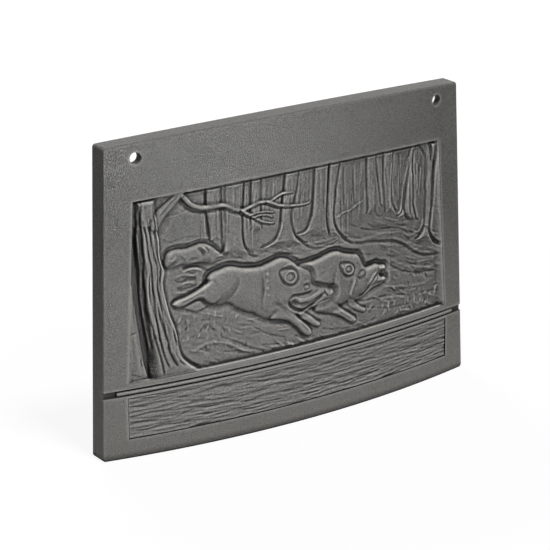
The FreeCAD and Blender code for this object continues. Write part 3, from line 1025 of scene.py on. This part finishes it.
@dataclass
class ScenePanel(LetInPanel):
    """Panel with boars and a hound running through a wood, beside an old trunk.

    Attributes:
        wear_and_shade_scales: How strongly fine and broad hollows and proud places show, partly as graphite
            and rubbed iron, partly as painted shade and highlight.
        parallax: How far the drawn lines are moved right and down to lie at the depth of the carving.
        swells: Spacing and height of the ground's two kinds of swells.
        roughness: Spacing and height of the fine unevenness over everything.
        streaks: Streaks between the trees.
        soil_strokes: Strokes of the open ground; they fall by a share of their length.
        grass_strokes: Blades of grass; their tips stray sideways.
        bark: Lines of the old trunk's bark.
        trunk_rise: Height of the old trunk.
        trunk_clear: Distance from the trunk over which the fill at the panel's head sets in.
        tree_rise: Height of the trees of the wood.
        deepest: Depth below the ground that no cut passes.
        line_gain: What the depth of the lines drawn on the animals is multiplied by.
        wood_gain: What the depth of the lines of the wood is multiplied by.
        cove_widths: Width of the cove at the left, the right, the foot and the head.
        cove_power: How hollow the cove is.
        lip: Depth of the panel's edge below the front of the plate.
        cove_brightening: How much brighter the cove along the panel's edges is made.
        head_fill: How far the wood comes forward at the panel's head.
        head_reach: Height over which it does so.
        head_power: How quickly that runs out.
        head_lines: Distance from the head, kind and size of each thin line along it.
        head_line_ends: Ends of those lines, in half widths of the panel's head.
        head_line_width: Half width of those lines.
        head_line_points: Number of points along them.
        painted_foot_shade: How much painted shade darkens the band at the panel's foot.
        painted_gap_shade: How much painted shadow darkens the gap beside the old trunk.
        gap_shade_width: How far that painted shadow reaches over the trunk's flank.
        gap_shade_shift: Share of that reach by which its middle lies right of the flank.
        gap_shade_flat: How flat that painted shadow is in its middle.
        painted_underside_shade: How much painted shade darkens undersides for their slope.
        underside_shade_limit: Slope from which an underside gets no more painted shade.
    """

    wear_and_shade_scales: tuple[tuple[float, int], ...] = ((1.5, 1), (1.0, 5))
    parallax: Point = (1.2, -0.4)
    swells: tuple[Span, Span] = ((14.0, 0.22), (5.0, 0.14))
    roughness: Span = (2.2, 0.06)
    streaks: Streaks = Streaks()
    soil_strokes: Scatter = Scatter(length=(5.0, 20.0), stray=(-0.55, -0.05), bend=(-0.7, 0.7),
                                    half_width=(0.7, 1.5), size=(0.15, 0.55), ridges=0.5)
    grass_strokes: Scatter = Scatter(length=(3.0, 8.0), stray=(-5.0, 5.0), bend=(-1.4, 1.4),
                                     half_width=(0.8, 1.7), size=(0.2, 0.8), ridges=0.55)
    bark: Bark = Bark()
    trunk_rise: float = 3.0
    trunk_clear: float = 10.0
    tree_rise: float = 1.4
    deepest: float = 1.9
    line_gain: float = 1.15
    wood_gain: float = 1.5
    cove_widths: tuple[float, float, float, float] = (4.0, 6.0, 1.6, 1.4)
    cove_power: float = 1.3
    lip: float = 0.25
    cove_brightening: float = 0.25
    head_fill: float = 1.8
    head_reach: float = 30.0
    head_power: float = 1.5
    head_lines: tuple[tuple[float, Cut, float], ...] = ((1.4, GROOVE, 1.2), (3.0, RIDGE, 0.5))
    head_line_ends: Span = (-0.72, 0.86)
    head_line_width: float = 0.9
    head_line_points: int = 9
    painted_foot_shade: float = 0.5
    painted_gap_shade: float = 1.2
    gap_shade_width: float = 5.0
    gap_shade_shift: float = 0.35
    gap_shade_flat: float = 1.5
    painted_underside_shade: float = 0.5
    underside_shade_limit: float = 1.2

    def wood(self, carving: Carving) -> None:
        """Carve the trees of the wood, their lines, the sweeps of the ground and the streaks.

        Args:
            carving: Heights to carve.
        """
        for size, amount in self.swells:
            carving.unevenness(size, amount)
        for left, right in WOOD:
            tree = Figure(ribbon(left, right), self.tree_rise, edge=2.2, moat=1.0, moat_width=2.0, dome=0.2,
                          smooth=False, belly=9.0, under=0.0)
            carving.raise_figure(tree)
        for stroke in WOOD_LINES:
            carving.carve(stroke, self.wood_gain)
        for stroke in SWEEPS:
            carving.carve(stroke)
        for x in np.arange(*self.streaks.across, self.streaks.step):
            top = carving.draw(self.streaks.top)
            length = carving.draw(self.streaks.length)
            sway = carving.draw(self.streaks.sway)
            points = [(x, top), (x + sway, top - length / 2), (x + sway / 2, top - length)]
            cut = carving.draw_cut(self.streaks.ridges)
            carving.carve(Stroke(cut, self.streaks.half_width, carving.draw(self.streaks.size), points))

    def soil(self, carving: Carving) -> None:
        """Roughen the open ground with short strokes that follow its fall to the right.

        Args:
            carving: Heights to carve.
        """
        strokes = self.soil_strokes
        for _ in range(SOIL.count):
            x, z = carving.random.uniform(SOIL.low, SOIL.high)
            length = carving.draw(strokes.length)
            fall = length * carving.draw(strokes.stray)
            bend = carving.draw(strokes.bend)
            middle = (x + length / 2, z + fall / 2 + bend)
            carving.scatter(strokes, [(x, z), middle, (x + length, z + fall)])

    def grass(self, carving: Carving) -> None:
        """Scatter tufts of grass over their patches and draw the shaggy curls below the hound.

        Args:
            carving: Heights to carve.
        """
        strokes = self.grass_strokes
        for patch in GRASS:
            for _ in range(patch.count):
                x, z = carving.random.uniform(patch.low, patch.high)
                length = carving.draw(strokes.length)
                tip = patch.lean * length + carving.draw(strokes.stray)
                bend = carving.draw(strokes.bend)
                middle = (x + tip / 2 + bend, z + length / 2)
                carving.scatter(strokes, [(x, z), middle, (x + tip, z + length)])
        for stroke in PELT:
            carving.carve(stroke)

    def trunk(self, carving: Carving) -> None:
        """Raise the old trunk with its bark and its knot.

        Args:
            carving: Heights to carve.
        """
        carving.raise_figure(Figure(TRUNK_BANK, rise=2.2, edge=2.5))
        trunk = Figure(ribbon(TRUNK_LEFT, TRUNK_RIGHT), self.trunk_rise, edge=4.0, moat=1.0, moat_width=2.6,
                       dome=0.3, smooth=False, under=0.2)
        carving.raise_figure(trunk)
        carving.carve(TRUNK_GAP)
        bark = self.bark
        left, right = (smooth_line(edge, spacing=bark.spacing) for edge in (TRUNK_LEFT, TRUNK_RIGHT))
        for k in range(bark.lines):
            share = bark.first + bark.spread * k / (bark.lines - 1)
            phase = carving.draw(bark.phase)
            head = carving.draw(bark.head)
            foot = carving.draw(bark.foot)
            points = []
            for t in np.linspace(head, foot, bark.samples):
                a = left[int(t * (len(left) - 1))]
                b = right[int(t * (len(right) - 1))]
                wave = sum(size * math.sin(turn * phase + rate * t) for size, turn, rate in bark.waves)
                points.append(tuple(a + (b - a) * (share + wave)))
            size = carving.draw(bark.size)
            carving.carve(Stroke(GROOVE if k % 2 else RIDGE, carving.draw(bark.half_width), size, points))
        for stroke in TRUNK_MARKS:
            carving.carve(stroke)

    def animals(self, carving: Carving) -> None:
        """Raise the boars and the hound and draw their lines.

        Args:
            carving: Heights to carve.
        """
        for figure in FIGURES:
            carving.raise_figure(figure)
        for stroke in HOUND_LINES + BOAR_LINES:
            carving.carve(stroke, self.line_gain)
        for centre, radius, size in BOAR_SPOTS:
            carving.bump(centre, radius, size)

    def carve(self) -> Carving:
        """Carve the whole scene.

        Returns:
            The heights over the panel's grid.
        """
        x, z = self.grid()
        carving = Carving((x - self.parallax[0]).ravel(), (z - self.parallax[1]).ravel(), x.shape)
        self.wood(carving)
        self.soil(carving)
        self.grass(carving)
        for bough in BOUGHS:
            carving.bough(*bough)
        self.trunk(carving)
        carving.bough(*OLD_BOUGH)
        carving.carve(OLD_BOUGH_LINE)
        self.animals(carving)
        below = np.linspace(self.head - self.foot, 0, x.shape[0])[:, None]
        clear = np.clip((x - TRUNK_RIGHT[0][0]) / self.trunk_clear, 0, 1)
        fill = self.head_fill * clear * np.clip(1 - below / self.head_reach, 0, 1) ** self.head_power
        carving.height += fill.ravel()
        highest = self.front_depth - self.lip
        carving.height += (highest - carving.height) * self.cove(x.shape).ravel()
        for stroke in SAWN_HEAD + [self.head_line(*line) for line in self.head_lines]:
            carving.carve(stroke)
        carving.blur()
        carving.unevenness(*self.roughness)
        np.clip(carving.height, -self.deepest, highest, out=carving.height)
        return carving

    def head_line(self, below: float, cut: Cut, size: float) -> Stroke:
        """Draw a thin line along the panel's head, right of the old trunk.

        Args:
            below: Distance of the line from the head.
            cut: Kind of line.
            size: Its height or depth.

        Returns:
            The stroke.
        """
        s = np.linspace(*self.head_line_ends, self.head_line_points)
        rise = self.plate.rise(self.head, self.half_head) * (1 - s ** 2)
        x = s * self.half_head - self.parallax[0]
        points = list(zip(x, self.head + rise - below - self.parallax[1]))
        return Stroke(cut, self.head_line_width, size, points)

    def cove(self, shape: tuple[int, int]) -> np.ndarray:
        """Shape the soft cove that rises from the ground to the plate's front along each edge.

        Args:
            shape: Rows and columns of the grid.

        Returns:
            Share of that rise over the grid, 1 at the edge.
        """
        s, t = np.meshgrid(np.linspace(-1, 1, shape[1]), np.linspace(0, 1, shape[0]))
        up = t * (self.head - self.foot)
        down = (1 - t) * (self.head - self.foot)
        left, right = (1 + s) * self.half_foot, (1 - s) * self.half_foot
        share = np.zeros(shape)
        for distance, width in zip((left, right, up, down), self.cove_widths):
            share = np.maximum(share, np.clip(1 - distance / width, 0, 1) ** self.cove_power)
        return share

    def build(self) -> bpy.types.Object:
        """Build the carved panel.

        Returns:
            The new piece.
        """
        carving = self.carve()
        height = carving.height.reshape(carving.shape)
        piece = self.solid(height)
        # Painted shade on undersides, growing with their downward slope up to a limit.
        under = np.clip(np.gradient(height, self.step, axis=0), 0, self.underside_shade_limit)
        wear_and_shade = self.wear_and_shade(height) - self.painted_underside_shade * under
        # Brightening of the cove along the panel's edges.
        wear_and_shade += self.cove_brightening * self.cove(carving.shape)
        # Painted shade on a band along the panel's foot.
        foot = np.linspace(0, self.head - self.foot, carving.shape[0])[:, None]
        wear_and_shade -= self.painted_foot_shade * np.clip(2 - foot / self.cove_widths[2], 0, 1)
        # Painted shadow in the gap beside the old trunk, over the trunk's left flank.
        flank = smooth_line(TRUNK_LEFT) + (self.gap_shade_shift * self.gap_shade_width, 0)
        gap = carving.near(flank, self.gap_shade_width)
        gap_shade_mask = np.clip(self.gap_shade_flat * (1 - gap.distance / self.gap_shade_width), 0, 1)
        wear_and_shade.ravel()[gap.index] -= self.painted_gap_shade * gap_shade_mask
        # Store the hollows and proud places together with the painted shade and cove brightening added above,
        # for the finish to read.
        self.mark(piece, wear_and_shade)
        return piece


@dataclass(frozen=True)
class Grain:
    """Long grain lines of the plank; a span holds the least and the greatest value.

    Attributes:
        lines: Number of lines, one above the other.
        low_margin: Height of the plank's edge below the lines.
        margins: Height of both edges, below and above the lines.
        phase: Start of a line's waves.
        slope: How far a line rises for each millimetre to the right.
        length: Length of each stroke of a line.
        pause: Distance between strokes, below 0 where they overlap.
        overrun: How far a stroke may run past the plank's right end.
        spacing: Spacing of the points along a stroke.
        waves: Size of each wave, what it takes of the phase, and the length that divides its place.
        half_width: Half of a stroke's width.
        size: Its depth.
    """

    lines: int = 25
    low_margin: float = 1.2
    margins: float = 2.0
    phase: Span = (0.0, 6.0)
    slope: Span = (-0.010, -0.002)
    length: Span = (22.0, 80.0)
    pause: Span = (-4.0, 10.0)
    overrun: float = 8.0
    spacing: float = 3.0
    waves: tuple[Triple, ...] = ((0.8, 1.0, 14.0), (0.45, 2.1, 4.7))
    half_width: Span = (0.5, 0.9)
    size: Span = (0.2, 0.8)


@dataclass(frozen=True)
class Pores:
    """Short marks between the grain lines; a span holds the least and the greatest value.

    Attributes:
        count: Number of marks.
        length: Length of a mark.
        tilt: How far its right end lies above its left one.
        half_width: Half of its width.
        size: Its depth.
    """

    count: int = 260
    length: Span = (8.0, 26.0)
    tilt: Span = (-0.6, 0.3)
    half_width: Span = (0.6, 1.0)
    size: Span = (0.25, 0.7)


@dataclass
class PlankPanel(LetInPanel):
    """Panel carved as one long weathered plank.

    Attributes:
        wear_and_shade_scales: How strongly fine and broad hollows and proud places show, partly as graphite
            and rubbed iron, partly as painted shade and highlight.
        chamfer: Width of its bevelled edge.
        grain: Its long grain lines.
        pores: Its short marks.
        swell: Spacing and height of its swells.
        proud: Height above which its face is planed off.
        sunk: Depth of the face below the front of the plate.
        seed: Start of the random draws.
    """

    wear_and_shade_scales: tuple[tuple[float, int], ...] = ((1.5, 1), (0.8, 3))
    chamfer: float = 0.8
    grain: Grain = Grain()
    pores: Pores = Pores()
    swell: Span = (24.0, 0.12)
    proud: float = 0.1
    sunk: float = 0.15
    seed: int = 23

    def carve_grain(self, carving: Carving) -> None:
        """Carve the long grain lines, each as a row of strokes.

        Args:
            carving: Heights to carve.
        """
        grain = self.grain
        for k in range(grain.lines):
            room = self.head - self.foot - grain.margins
            level = self.foot + grain.low_margin + room * (k + 0.5) / grain.lines
            phase = carving.draw(grain.phase)
            slope = carving.draw(grain.slope)
            start = -self.half_foot
            while start < self.half_foot:
                length = carving.draw(grain.length)
                end = min(start + length, self.half_foot + grain.overrun)
                across = np.arange(start, end, grain.spacing)
                waves = sum(size * np.sin(turn * phase + across / reach) for size, turn, reach in grain.waves)
                crowned = self.plate.rise(self.foot, self.half_foot) * (1 - (across / self.half_foot) ** 2)
                points = list(zip(across, level + slope * across + waves + crowned))
                if len(points) > 2:
                    half_width = carving.draw(grain.half_width)
                    carving.carve(Stroke(GROOVE, half_width, carving.draw(grain.size), points))
                start += length + carving.draw(grain.pause)

    def carve_pores(self, carving: Carving) -> None:
        """Scatter the short marks over the plank.

        Args:
            carving: Heights to carve.
        """
        low, high = (-self.half_foot, self.foot), (self.half_foot, self.head)
        for _ in range(self.pores.count):
            x, z = carving.random.uniform(low, high)
            length = carving.draw(self.pores.length)
            tilt = carving.draw(self.pores.tilt)
            points = [(x, z), (x + length / 2, z + tilt), (x + length, z + tilt)]
            half_width = carving.draw(self.pores.half_width)
            carving.carve(Stroke(GROOVE, half_width, carving.draw(self.pores.size), points))

    def carve(self) -> Carving:
        """Carve the plank.

        Returns:
            The heights over the plank's grid.
        """
        x, z = self.grid()
        carving = Carving(x.ravel(), z.ravel(), x.shape, seed=self.seed)
        carving.unevenness(*self.swell)
        self.carve_grain(carving)
        self.carve_pores(carving)
        carving.blur()
        s, t = (np.linspace(0, 1, n) for n in (x.shape[1], x.shape[0]))
        from_side = np.minimum(s, 1 - s) * 2 * self.half_foot
        from_edge = np.minimum(t, 1 - t) * (self.head - self.foot)
        margin = np.minimum(from_side[None, :], from_edge[:, None])
        bevel = np.clip(1 - margin / self.chamfer, 0, 1) * self.chamfer
        carving.height = np.minimum(carving.height, self.proud) - self.sunk - bevel.ravel()
        return carving

    def build(self) -> bpy.types.Object:
        """Build the plank.

        Returns:
            The new piece.
        """
        carving = self.carve()
        height = carving.height.reshape(carving.shape)
        piece = self.solid(height)
        self.mark(piece, self.wear_and_shade(height))
        return piece


@dataclass(frozen=True)
class Nodes:
    """Shader nodes of one material or of the surroundings.

    Attributes:
        tree: Tree that the nodes are added to.
        rays: Number of rays that measure how open a surface is.
    """

    tree: bpy.types.NodeTree
    rays: int = 8

    def new(self, kind: str, **inputs: object) -> bpy.types.Node:
        """Add a node.

        Args:
            kind: Kind of node.
            inputs: A number, a colour or an output socket for each input, with _ for a space in its name.

        Returns:
            The new node.
        """
        node = self.tree.nodes.new(kind)
        for name, value in inputs.items():
            self.fill(node.inputs[name.replace("_", " ")], value)
        return node

    def fill(self, socket: bpy.types.NodeSocket, value: object) -> None:
        """Give an input a number or a colour, or link an output to it.

        Args:
            socket: The input.
            value: The number, the colour or the output socket.
        """
        if isinstance(value, bpy.types.NodeSocket):
            self.tree.links.new(value, socket)
        else:
            socket.default_value = value

    def math(self, kind: str, *inputs: object) -> bpy.types.NodeSocket:
        """Add a math node.

        Args:
            kind: Operation of the node.
            inputs: A number or an output socket for each of its inputs.

        Returns:
            Its output socket.
        """
        node = self.new("ShaderNodeMath")
        node.operation = kind
        for socket, value in zip(node.inputs, inputs):
            self.fill(socket, value)
        return node.outputs[0]

    def place(self) -> bpy.types.NodeSocket:
        """Add a socket with the place in the object's own space."""
        return self.new("ShaderNodeTexCoord").outputs["Object"]

    def noise(self, size: float, detail: float) -> bpy.types.NodeSocket:
        """Add a noise texture laid out in the object's own space.

        Args:
            size: Size of its patches in millimetres.
            detail: Octaves of finer noise.

        Returns:
            Its value, from 0 to 1.
        """
        node = self.new("ShaderNodeTexNoise", Scale=1 / (size * MM), Detail=detail, Vector=self.place())
        return node.outputs["Fac"]

    def openness(self, reach: float, inside: bool) -> bpy.types.NodeSocket:
        """Measure how open the surface is, for painted shade in nooks and for brightening along edges.

        Args:
            reach: How far it looks, in millimetres.
            inside: Whether it looks into the iron, which finds edges, or out of it, which finds nooks.

        Returns:
            A value of 1 in the open and less in a nook or at an edge.
        """
        node = self.new("ShaderNodeAmbientOcclusion", Distance=reach * MM)
        node.inside = inside
        node.samples = self.rays
        return node.outputs["AO"]

    def seen(self) -> bpy.types.NodeSocket:
        """Tell whether a surface is seen directly, in a reflection or through glass.

        Returns:
            A socket that is 1 where it is seen.
        """
        path = self.new("ShaderNodeLightPath")
        value = path.outputs["Is Camera Ray"]
        for ray in ("Is Glossy Ray", "Is Transmission Ray"):
            value = self.math("MAXIMUM", value, path.outputs[ray])
        return value


@dataclass(frozen=True)
class IronFinish:
    """Dark cast iron, rubbed with graphite; its colour also carries painted shade in nooks and hollows and a
    painted highlight and sheen on proud places, edges and towards the foot.

    Attributes:
        name: Name of the finish.
        colour: Mean colour, linear.
        specular: Strength of the gloss in the open; in a nook it is cut by painted shade.
        roughness: Mean roughness.
        cloud: Size of the broad patches in millimetres.
        cloud_detail: Octaves of finer patches in them.
        cloud_shade: How much those patches differ in brightness.
        cloud_rough: How much they differ in roughness.
        grain: Size of the sand grain in millimetres.
        grain_detail: Octaves of finer grain and finer specks.
        grain_height: Height of the grain in millimetres.
        speck: Size of the specks in grains.
        speckle: How strongly single specks differ in brightness.
        speck_rough: How much they differ in roughness.
        darkest: Least brightness in the open, as a share of the mean.
        hollow_dark_and_shade: How much darker a hollow is for each millimetre of depth, partly graphite,
            partly painted shade.
        proud_rub_and_highlight: How much brighter a proud place is for each millimetre that it stands out,
            partly rubbed iron, partly painted highlight.
        edge_rub_and_highlight: How much brighter a sharp edge is made, partly rubbed iron, partly painted
            highlight.
        edge_width: Width of that brightening along edges, in millimetres.
        painted_nook_shade: How strongly painted shade darkens nooks.
        nook_shade_width: Width of the nooks that get painted shade, in millimetres.
        painted_sheen: How much painted sheen brightens the iron towards its foot.
        painted_sheen_height: Height in millimetres at which that painted sheen has faded out.
        painted_sheen_slant: How much lower it fades for each millimetre to the right.
    """

    name: str
    colour: Triple = (0.138, 0.134, 0.126)
    specular: float = 0.12
    roughness: float = 0.37
    cloud: float = 38.0
    cloud_detail: float = 3.0
    cloud_shade: float = 0.36
    cloud_rough: float = 0.16
    grain: float = 0.7
    grain_detail: float = 2.0
    grain_height: float = 0.76
    speck: float = 1.6
    speckle: float = 2.8
    speck_rough: float = 0.14
    darkest: float = 0.06
    hollow_dark_and_shade: float = 0.0
    proud_rub_and_highlight: float = 0.0
    edge_rub_and_highlight: float = 0.0
    edge_width: float = 2.5
    painted_nook_shade: float = 1.6
    nook_shade_width: float = 5.0
    painted_sheen: float = 2.0
    painted_sheen_height: float = 160.0
    painted_sheen_slant: float = 0.12

    def paint_foot_sheen(self, nodes: Nodes) -> bpy.types.NodeSocket:
        """Paint a sheen on the iron, brighter towards its foot.

        Args:
            nodes: Nodes of the material.

        Returns:
            How much brighter it is.
        """
        axes = nodes.new("ShaderNodeSeparateXYZ", Vector=nodes.place())
        level = nodes.math("MULTIPLY_ADD", axes.outputs["X"], self.painted_sheen_slant, axes.outputs["Z"])
        fade = nodes.new("ShaderNodeMapRange", From_Max=self.painted_sheen_height * MM, To_Min=self.painted_sheen, To_Max=0.0,
                         Value=level)
        return fade.outputs[0]

    def material(self) -> bpy.types.Material:
        """Make the material.

        Returns:
            A material with its colour, roughness and grain from nodes.
        """
        made = bpy.data.materials.new(self.name)
        made.use_nodes = True
        nodes = Nodes(made.node_tree)
        shader = made.node_tree.nodes["Principled BSDF"]
        cloud = nodes.noise(self.cloud, self.cloud_detail)
        speck = nodes.noise(self.grain * self.speck, self.grain_detail)
        relief = nodes.new("ShaderNodeAttribute")
        relief.attribute_name = RELIEF
        hollow = nodes.math("MINIMUM", relief.outputs["Fac"], 0.0)
        proud = nodes.math("MAXIMUM", relief.outputs["Fac"], 0.0)
        shade = nodes.math("MULTIPLY_ADD", cloud, self.cloud_shade, 1 - self.cloud_shade / 2)
        shade = nodes.math("SUBTRACT", shade, self.speckle / 2)
        shade = nodes.math("MULTIPLY_ADD", speck, self.speckle, shade)
        # Painted sheen: brighter towards the foot, and more so to the left.
        shade = nodes.math("ADD", shade, self.paint_foot_sheen(nodes))
        # Proud places brighter and hollows darker: partly rubbed iron and graphite, partly painted highlight
        # and shade.
        shade = nodes.math("MULTIPLY_ADD", proud, self.proud_rub_and_highlight, shade)
        shade = nodes.math("MULTIPLY_ADD", hollow, self.hollow_dark_and_shade, shade)
        # Sharp edges brighter: partly rubbed iron, partly painted highlight.
        edge = nodes.math("SUBTRACT", 1.0, nodes.openness(self.edge_width, inside=True))
        shade = nodes.math("MULTIPLY_ADD", edge, self.edge_rub_and_highlight, shade)
        shade = nodes.math("MAXIMUM", shade, self.darkest)
        # Painted shade in nooks, on the colour and on the gloss.
        nook = nodes.math("POWER", nodes.openness(self.nook_shade_width, inside=False), self.painted_nook_shade)
        shade = nodes.math("MULTIPLY", shade, nook)
        gloss = nodes.math("MULTIPLY", nook, self.specular)
        tint = nodes.new("ShaderNodeVectorMath")
        tint.operation = "SCALE"
        nodes.fill(tint.inputs[0], self.colour)
        nodes.fill(tint.inputs["Scale"], shade)
        rough = nodes.math("MULTIPLY_ADD", cloud, self.cloud_rough, self.roughness - self.cloud_rough / 2)
        rough = nodes.math("SUBTRACT", rough, self.speck_rough / 2)
        rough = nodes.math("MULTIPLY_ADD", speck, self.speck_rough, rough)
        bump = nodes.new("ShaderNodeBump", Strength=1.0, Distance=self.grain_height * MM,
                         Height=nodes.noise(self.grain, self.grain_detail))
        nodes.fill(shader.inputs["Base Color"], tint.outputs[0])
        nodes.fill(shader.inputs["Roughness"], rough)
        nodes.fill(shader.inputs["Specular IOR Level"], gloss)
        nodes.fill(shader.inputs["Normal"], bump.outputs["Normal"])
        return made


@dataclass
class Casting:
    """Pieces that keep the form of the frame: the surrounding plate and the bead.

    Attributes:
        plate_node: Node of the plate.
        bead_node: Node of the bead.
    """

    plate_node: str = "surround_plate"
    bead_node: str = "bead_rod"

    def dress(self, plate: bpy.types.Material, bead: bpy.types.Material) -> None:
        """Give both nodes their finish.

        Args:
            plate: Finish of the plate.
            bead: Finish of the bead.
        """
        for node, material in ((self.plate_node, plate), (self.bead_node, bead)):
            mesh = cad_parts[node].data
            mesh.materials.clear()
            mesh.materials.append(material)
            log.info("dressed %s", node)


@dataclass(frozen=True)
class Lamp:
    """Square soft lamp that faces the object: name, place and side in metres, and power in watts."""

    name: str
    place: Triple
    size: float
    power: float


@dataclass(frozen=True)
class Strip:
    """Strip light on the floor in front, which shows only as a sheen on the iron.

    Attributes:
        middle: Its middle on the floor, in metres.
        lift: Its height above the floor.
        bearing: Direction in which it runs away from the object, in degrees right of the front.
        width: Its width in metres.
        length: Its length in metres.
        glow: Power in watts for each square metre.
    """

    middle: Point = (0.03, -0.66)
    lift: float = 0.004
    bearing: float = 10.0
    width: float = 0.22
    length: float = 0.8
    glow: float = 540.0


@dataclass
class Studio:
    """Pale floor, soft light and a camera at the photograph's angle.

    Attributes:
        aim: Point that the camera looks at, in metres.
        distance: Distance of the camera from that point.
        yaw: How far the camera stands to the left of the front, in degrees.
        pitch: Height of the camera above the level, in degrees.
        lens: Focal length in millimetres.
        sensor: Width of the sensor in millimetres.
        ambient: Strength of the light from all round.
        lamps: The lamps.
        sheen: The strip light.
        floor_reach: Half of the floor's side, in metres.
        floor_paint: Brightness of its paint.
        floor_glow: Brightness that it is seen with, near the object and far from it.
        floor_fade: Distances between which that brightness changes.
    """

    aim: Triple = (-0.01514, -0.0006, 0.1165)
    distance: float = 1.8393
    yaw: float = 34.76
    pitch: float = 19.56
    lens: float = 158.63
    sensor: float = 36.0
    ambient: float = 0.04
    lamps: tuple[Lamp, ...] = (
        Lamp("key", (0.05, -1.1, 2.6), size=0.5, power=43.0),
        Lamp("fill", (0.0, -2.0, 1.0), size=0.6, power=5.0),
        Lamp("rear", (0.3, 1.8, 1.5), size=0.8, power=16.0),
    )
    sheen: Strip = Strip()
    floor_reach: float = 6.0
    floor_paint: float = 0.13
    floor_glow: Span = (0.9, 1.0)
    floor_fade: Span = (0.25, 0.9)

    def floor(self) -> None:
        """Lay a wide white floor that keeps the object's shadow."""
        mesh = bpy.data.meshes.new("floor")
        reach = self.floor_reach
        corners = [(-reach, -reach, 0), (reach, -reach, 0), (reach, reach, 0), (-reach, reach, 0)]
        mesh.from_pydata(corners, [], [(0, 1, 2, 3)])
        floor = linked("floor", mesh)
        material = bpy.data.materials.new("floor_white")
        material.use_nodes = True
        nodes = Nodes(material.node_tree)
        nodes.tree.nodes.clear()
        output = nodes.new("ShaderNodeOutputMaterial")
        grey = (self.floor_paint, self.floor_paint, self.floor_paint, 1)
        paint = nodes.new("ShaderNodeBsdfDiffuse", Color=grey)
        away = nodes.new("ShaderNodeVectorMath")
        away.operation = "LENGTH"
        nodes.fill(away.inputs[0], nodes.place())
        (near, far), (low, high) = self.floor_fade, self.floor_glow
        spread = nodes.new("ShaderNodeMapRange", From_Min=near, From_Max=far, To_Min=low, To_Max=high,
                           Value=away.outputs["Value"])
        strength = nodes.math("MULTIPLY", nodes.seen(), spread.outputs[0])
        glow = nodes.new("ShaderNodeEmission", Strength=strength)
        both = nodes.new("ShaderNodeAddShader")
        for socket, part in zip(both.inputs, (paint, glow)):
            nodes.fill(socket, part.outputs[0])
        nodes.fill(output.inputs["Surface"], both.outputs[0])
        mesh.materials.append(material)

    def surroundings(self) -> None:
        """Make a white background and a soft light from all round."""
        world = bpy.data.worlds.new("studio")
        bpy.context.scene.world = world
        world.use_nodes = True
        nodes = Nodes(world.node_tree)
        background = world.node_tree.nodes["Background"]
        background.inputs["Color"].default_value = (1, 1, 1, 1)
        strength = nodes.new("ShaderNodeMapRange", To_Min=self.ambient, To_Max=1.0, Value=nodes.seen())
        nodes.fill(background.inputs["Strength"], strength.outputs[0])

    def hang(self, lamp: Lamp) -> None:
        """Hang a lamp so that it faces the object.

        Args:
            lamp: The lamp.
        """
        light = bpy.data.lights.new(lamp.name, "AREA")
        light.size = lamp.size
        light.energy = lamp.power
        hung = linked(lamp.name, light)
        hung.location = lamp.place
        hung.rotation_mode = "QUATERNION"
        hung.rotation_quaternion = (Vector(lamp.place) - Vector(self.aim)).to_track_quat("Z", "Y")

    def lay(self, strip: Strip) -> None:
        """Lay the strip light on the floor.

        Args:
            strip: The strip light.
        """
        light = bpy.data.lights.new("sheen", "AREA")
        light.shape = "RECTANGLE"
        light.size = strip.width
        light.size_y = strip.length
        light.energy = strip.glow * strip.width * strip.length
        laid = linked("sheen", light)
        laid.location = (*strip.middle, strip.lift)
        laid.rotation_euler = (math.pi, 0, math.radians(strip.bearing))
        laid.visible_camera = False
        laid.visible_diffuse = False

    def camera(self) -> None:
        """Stand the camera at the photograph's angle."""
        data = bpy.data.cameras.new("camera")
        data.lens = self.lens
        data.sensor_width = self.sensor
        camera = linked("camera", data)
        a, e = math.radians(self.yaw), math.radians(self.pitch)
        back = Vector((-math.sin(a) * math.cos(e), -math.cos(a) * math.cos(e), math.sin(e)))
        camera.location = Vector(self.aim) + back * self.distance
        camera.rotation_mode = "QUATERNION"
        camera.rotation_quaternion = back.to_track_quat("Z", "Y")
        bpy.context.scene.camera = camera

    def build(self) -> None:
        """Set the whole studio up."""
        bpy.context.scene.view_settings.view_transform = "Standard"
        self.floor()
        self.surroundings()
        for lamp in self.lamps:
            self.hang(lamp)
        self.lay(self.sheen)
        self.camera()


def main() -> None:
    """Build and dress every piece in order."""
    logging.basicConfig(level=logging.INFO)
    plate = PlateShape()
    scene_panel = ScenePanel(plate, "carved_scene", "scene_panel", foot=58.85, head=197.55, half_foot=148.35,
                             half_head=140.34, front_depth=3.8, back_depth=6.0, step=0.5)
    plank_panel = PlankPanel(plate, "grained_plank", "plank_panel", foot=15.35, head=47.65, half_foot=149.38,
                             half_head=149.38, front_depth=0.0, back_depth=3.0, step=0.5)
    carved = IronFinish("carved_iron", speckle=4.0, hollow_dark_and_shade=2.0, proud_rub_and_highlight=3.2, painted_nook_shade=0.9)
    grained = IronFinish("grained_iron", speckle=4.0, hollow_dark_and_shade=0.7, proud_rub_and_highlight=2.6, painted_nook_shade=1.0)
    for panel, finish in ((scene_panel, carved), (plank_panel, grained)):
        piece = panel.build()
        piece.data.materials.append(finish.material())
        log.info("built %s for %s", piece.name, panel.node)
    plate_iron = IronFinish("plate_iron", edge_rub_and_highlight=3.5, edge_width=2.5, painted_nook_shade=2.4, nook_shade_width=6.0)
    bead_iron = IronFinish("bead_iron", colour=(0.222, 0.218, 0.207), roughness=0.34, nook_shade_width=2.5)
    Casting().dress(plate_iron.material(), bead_iron.material())
    Studio().build()


if __name__ == "__main__":
    main()
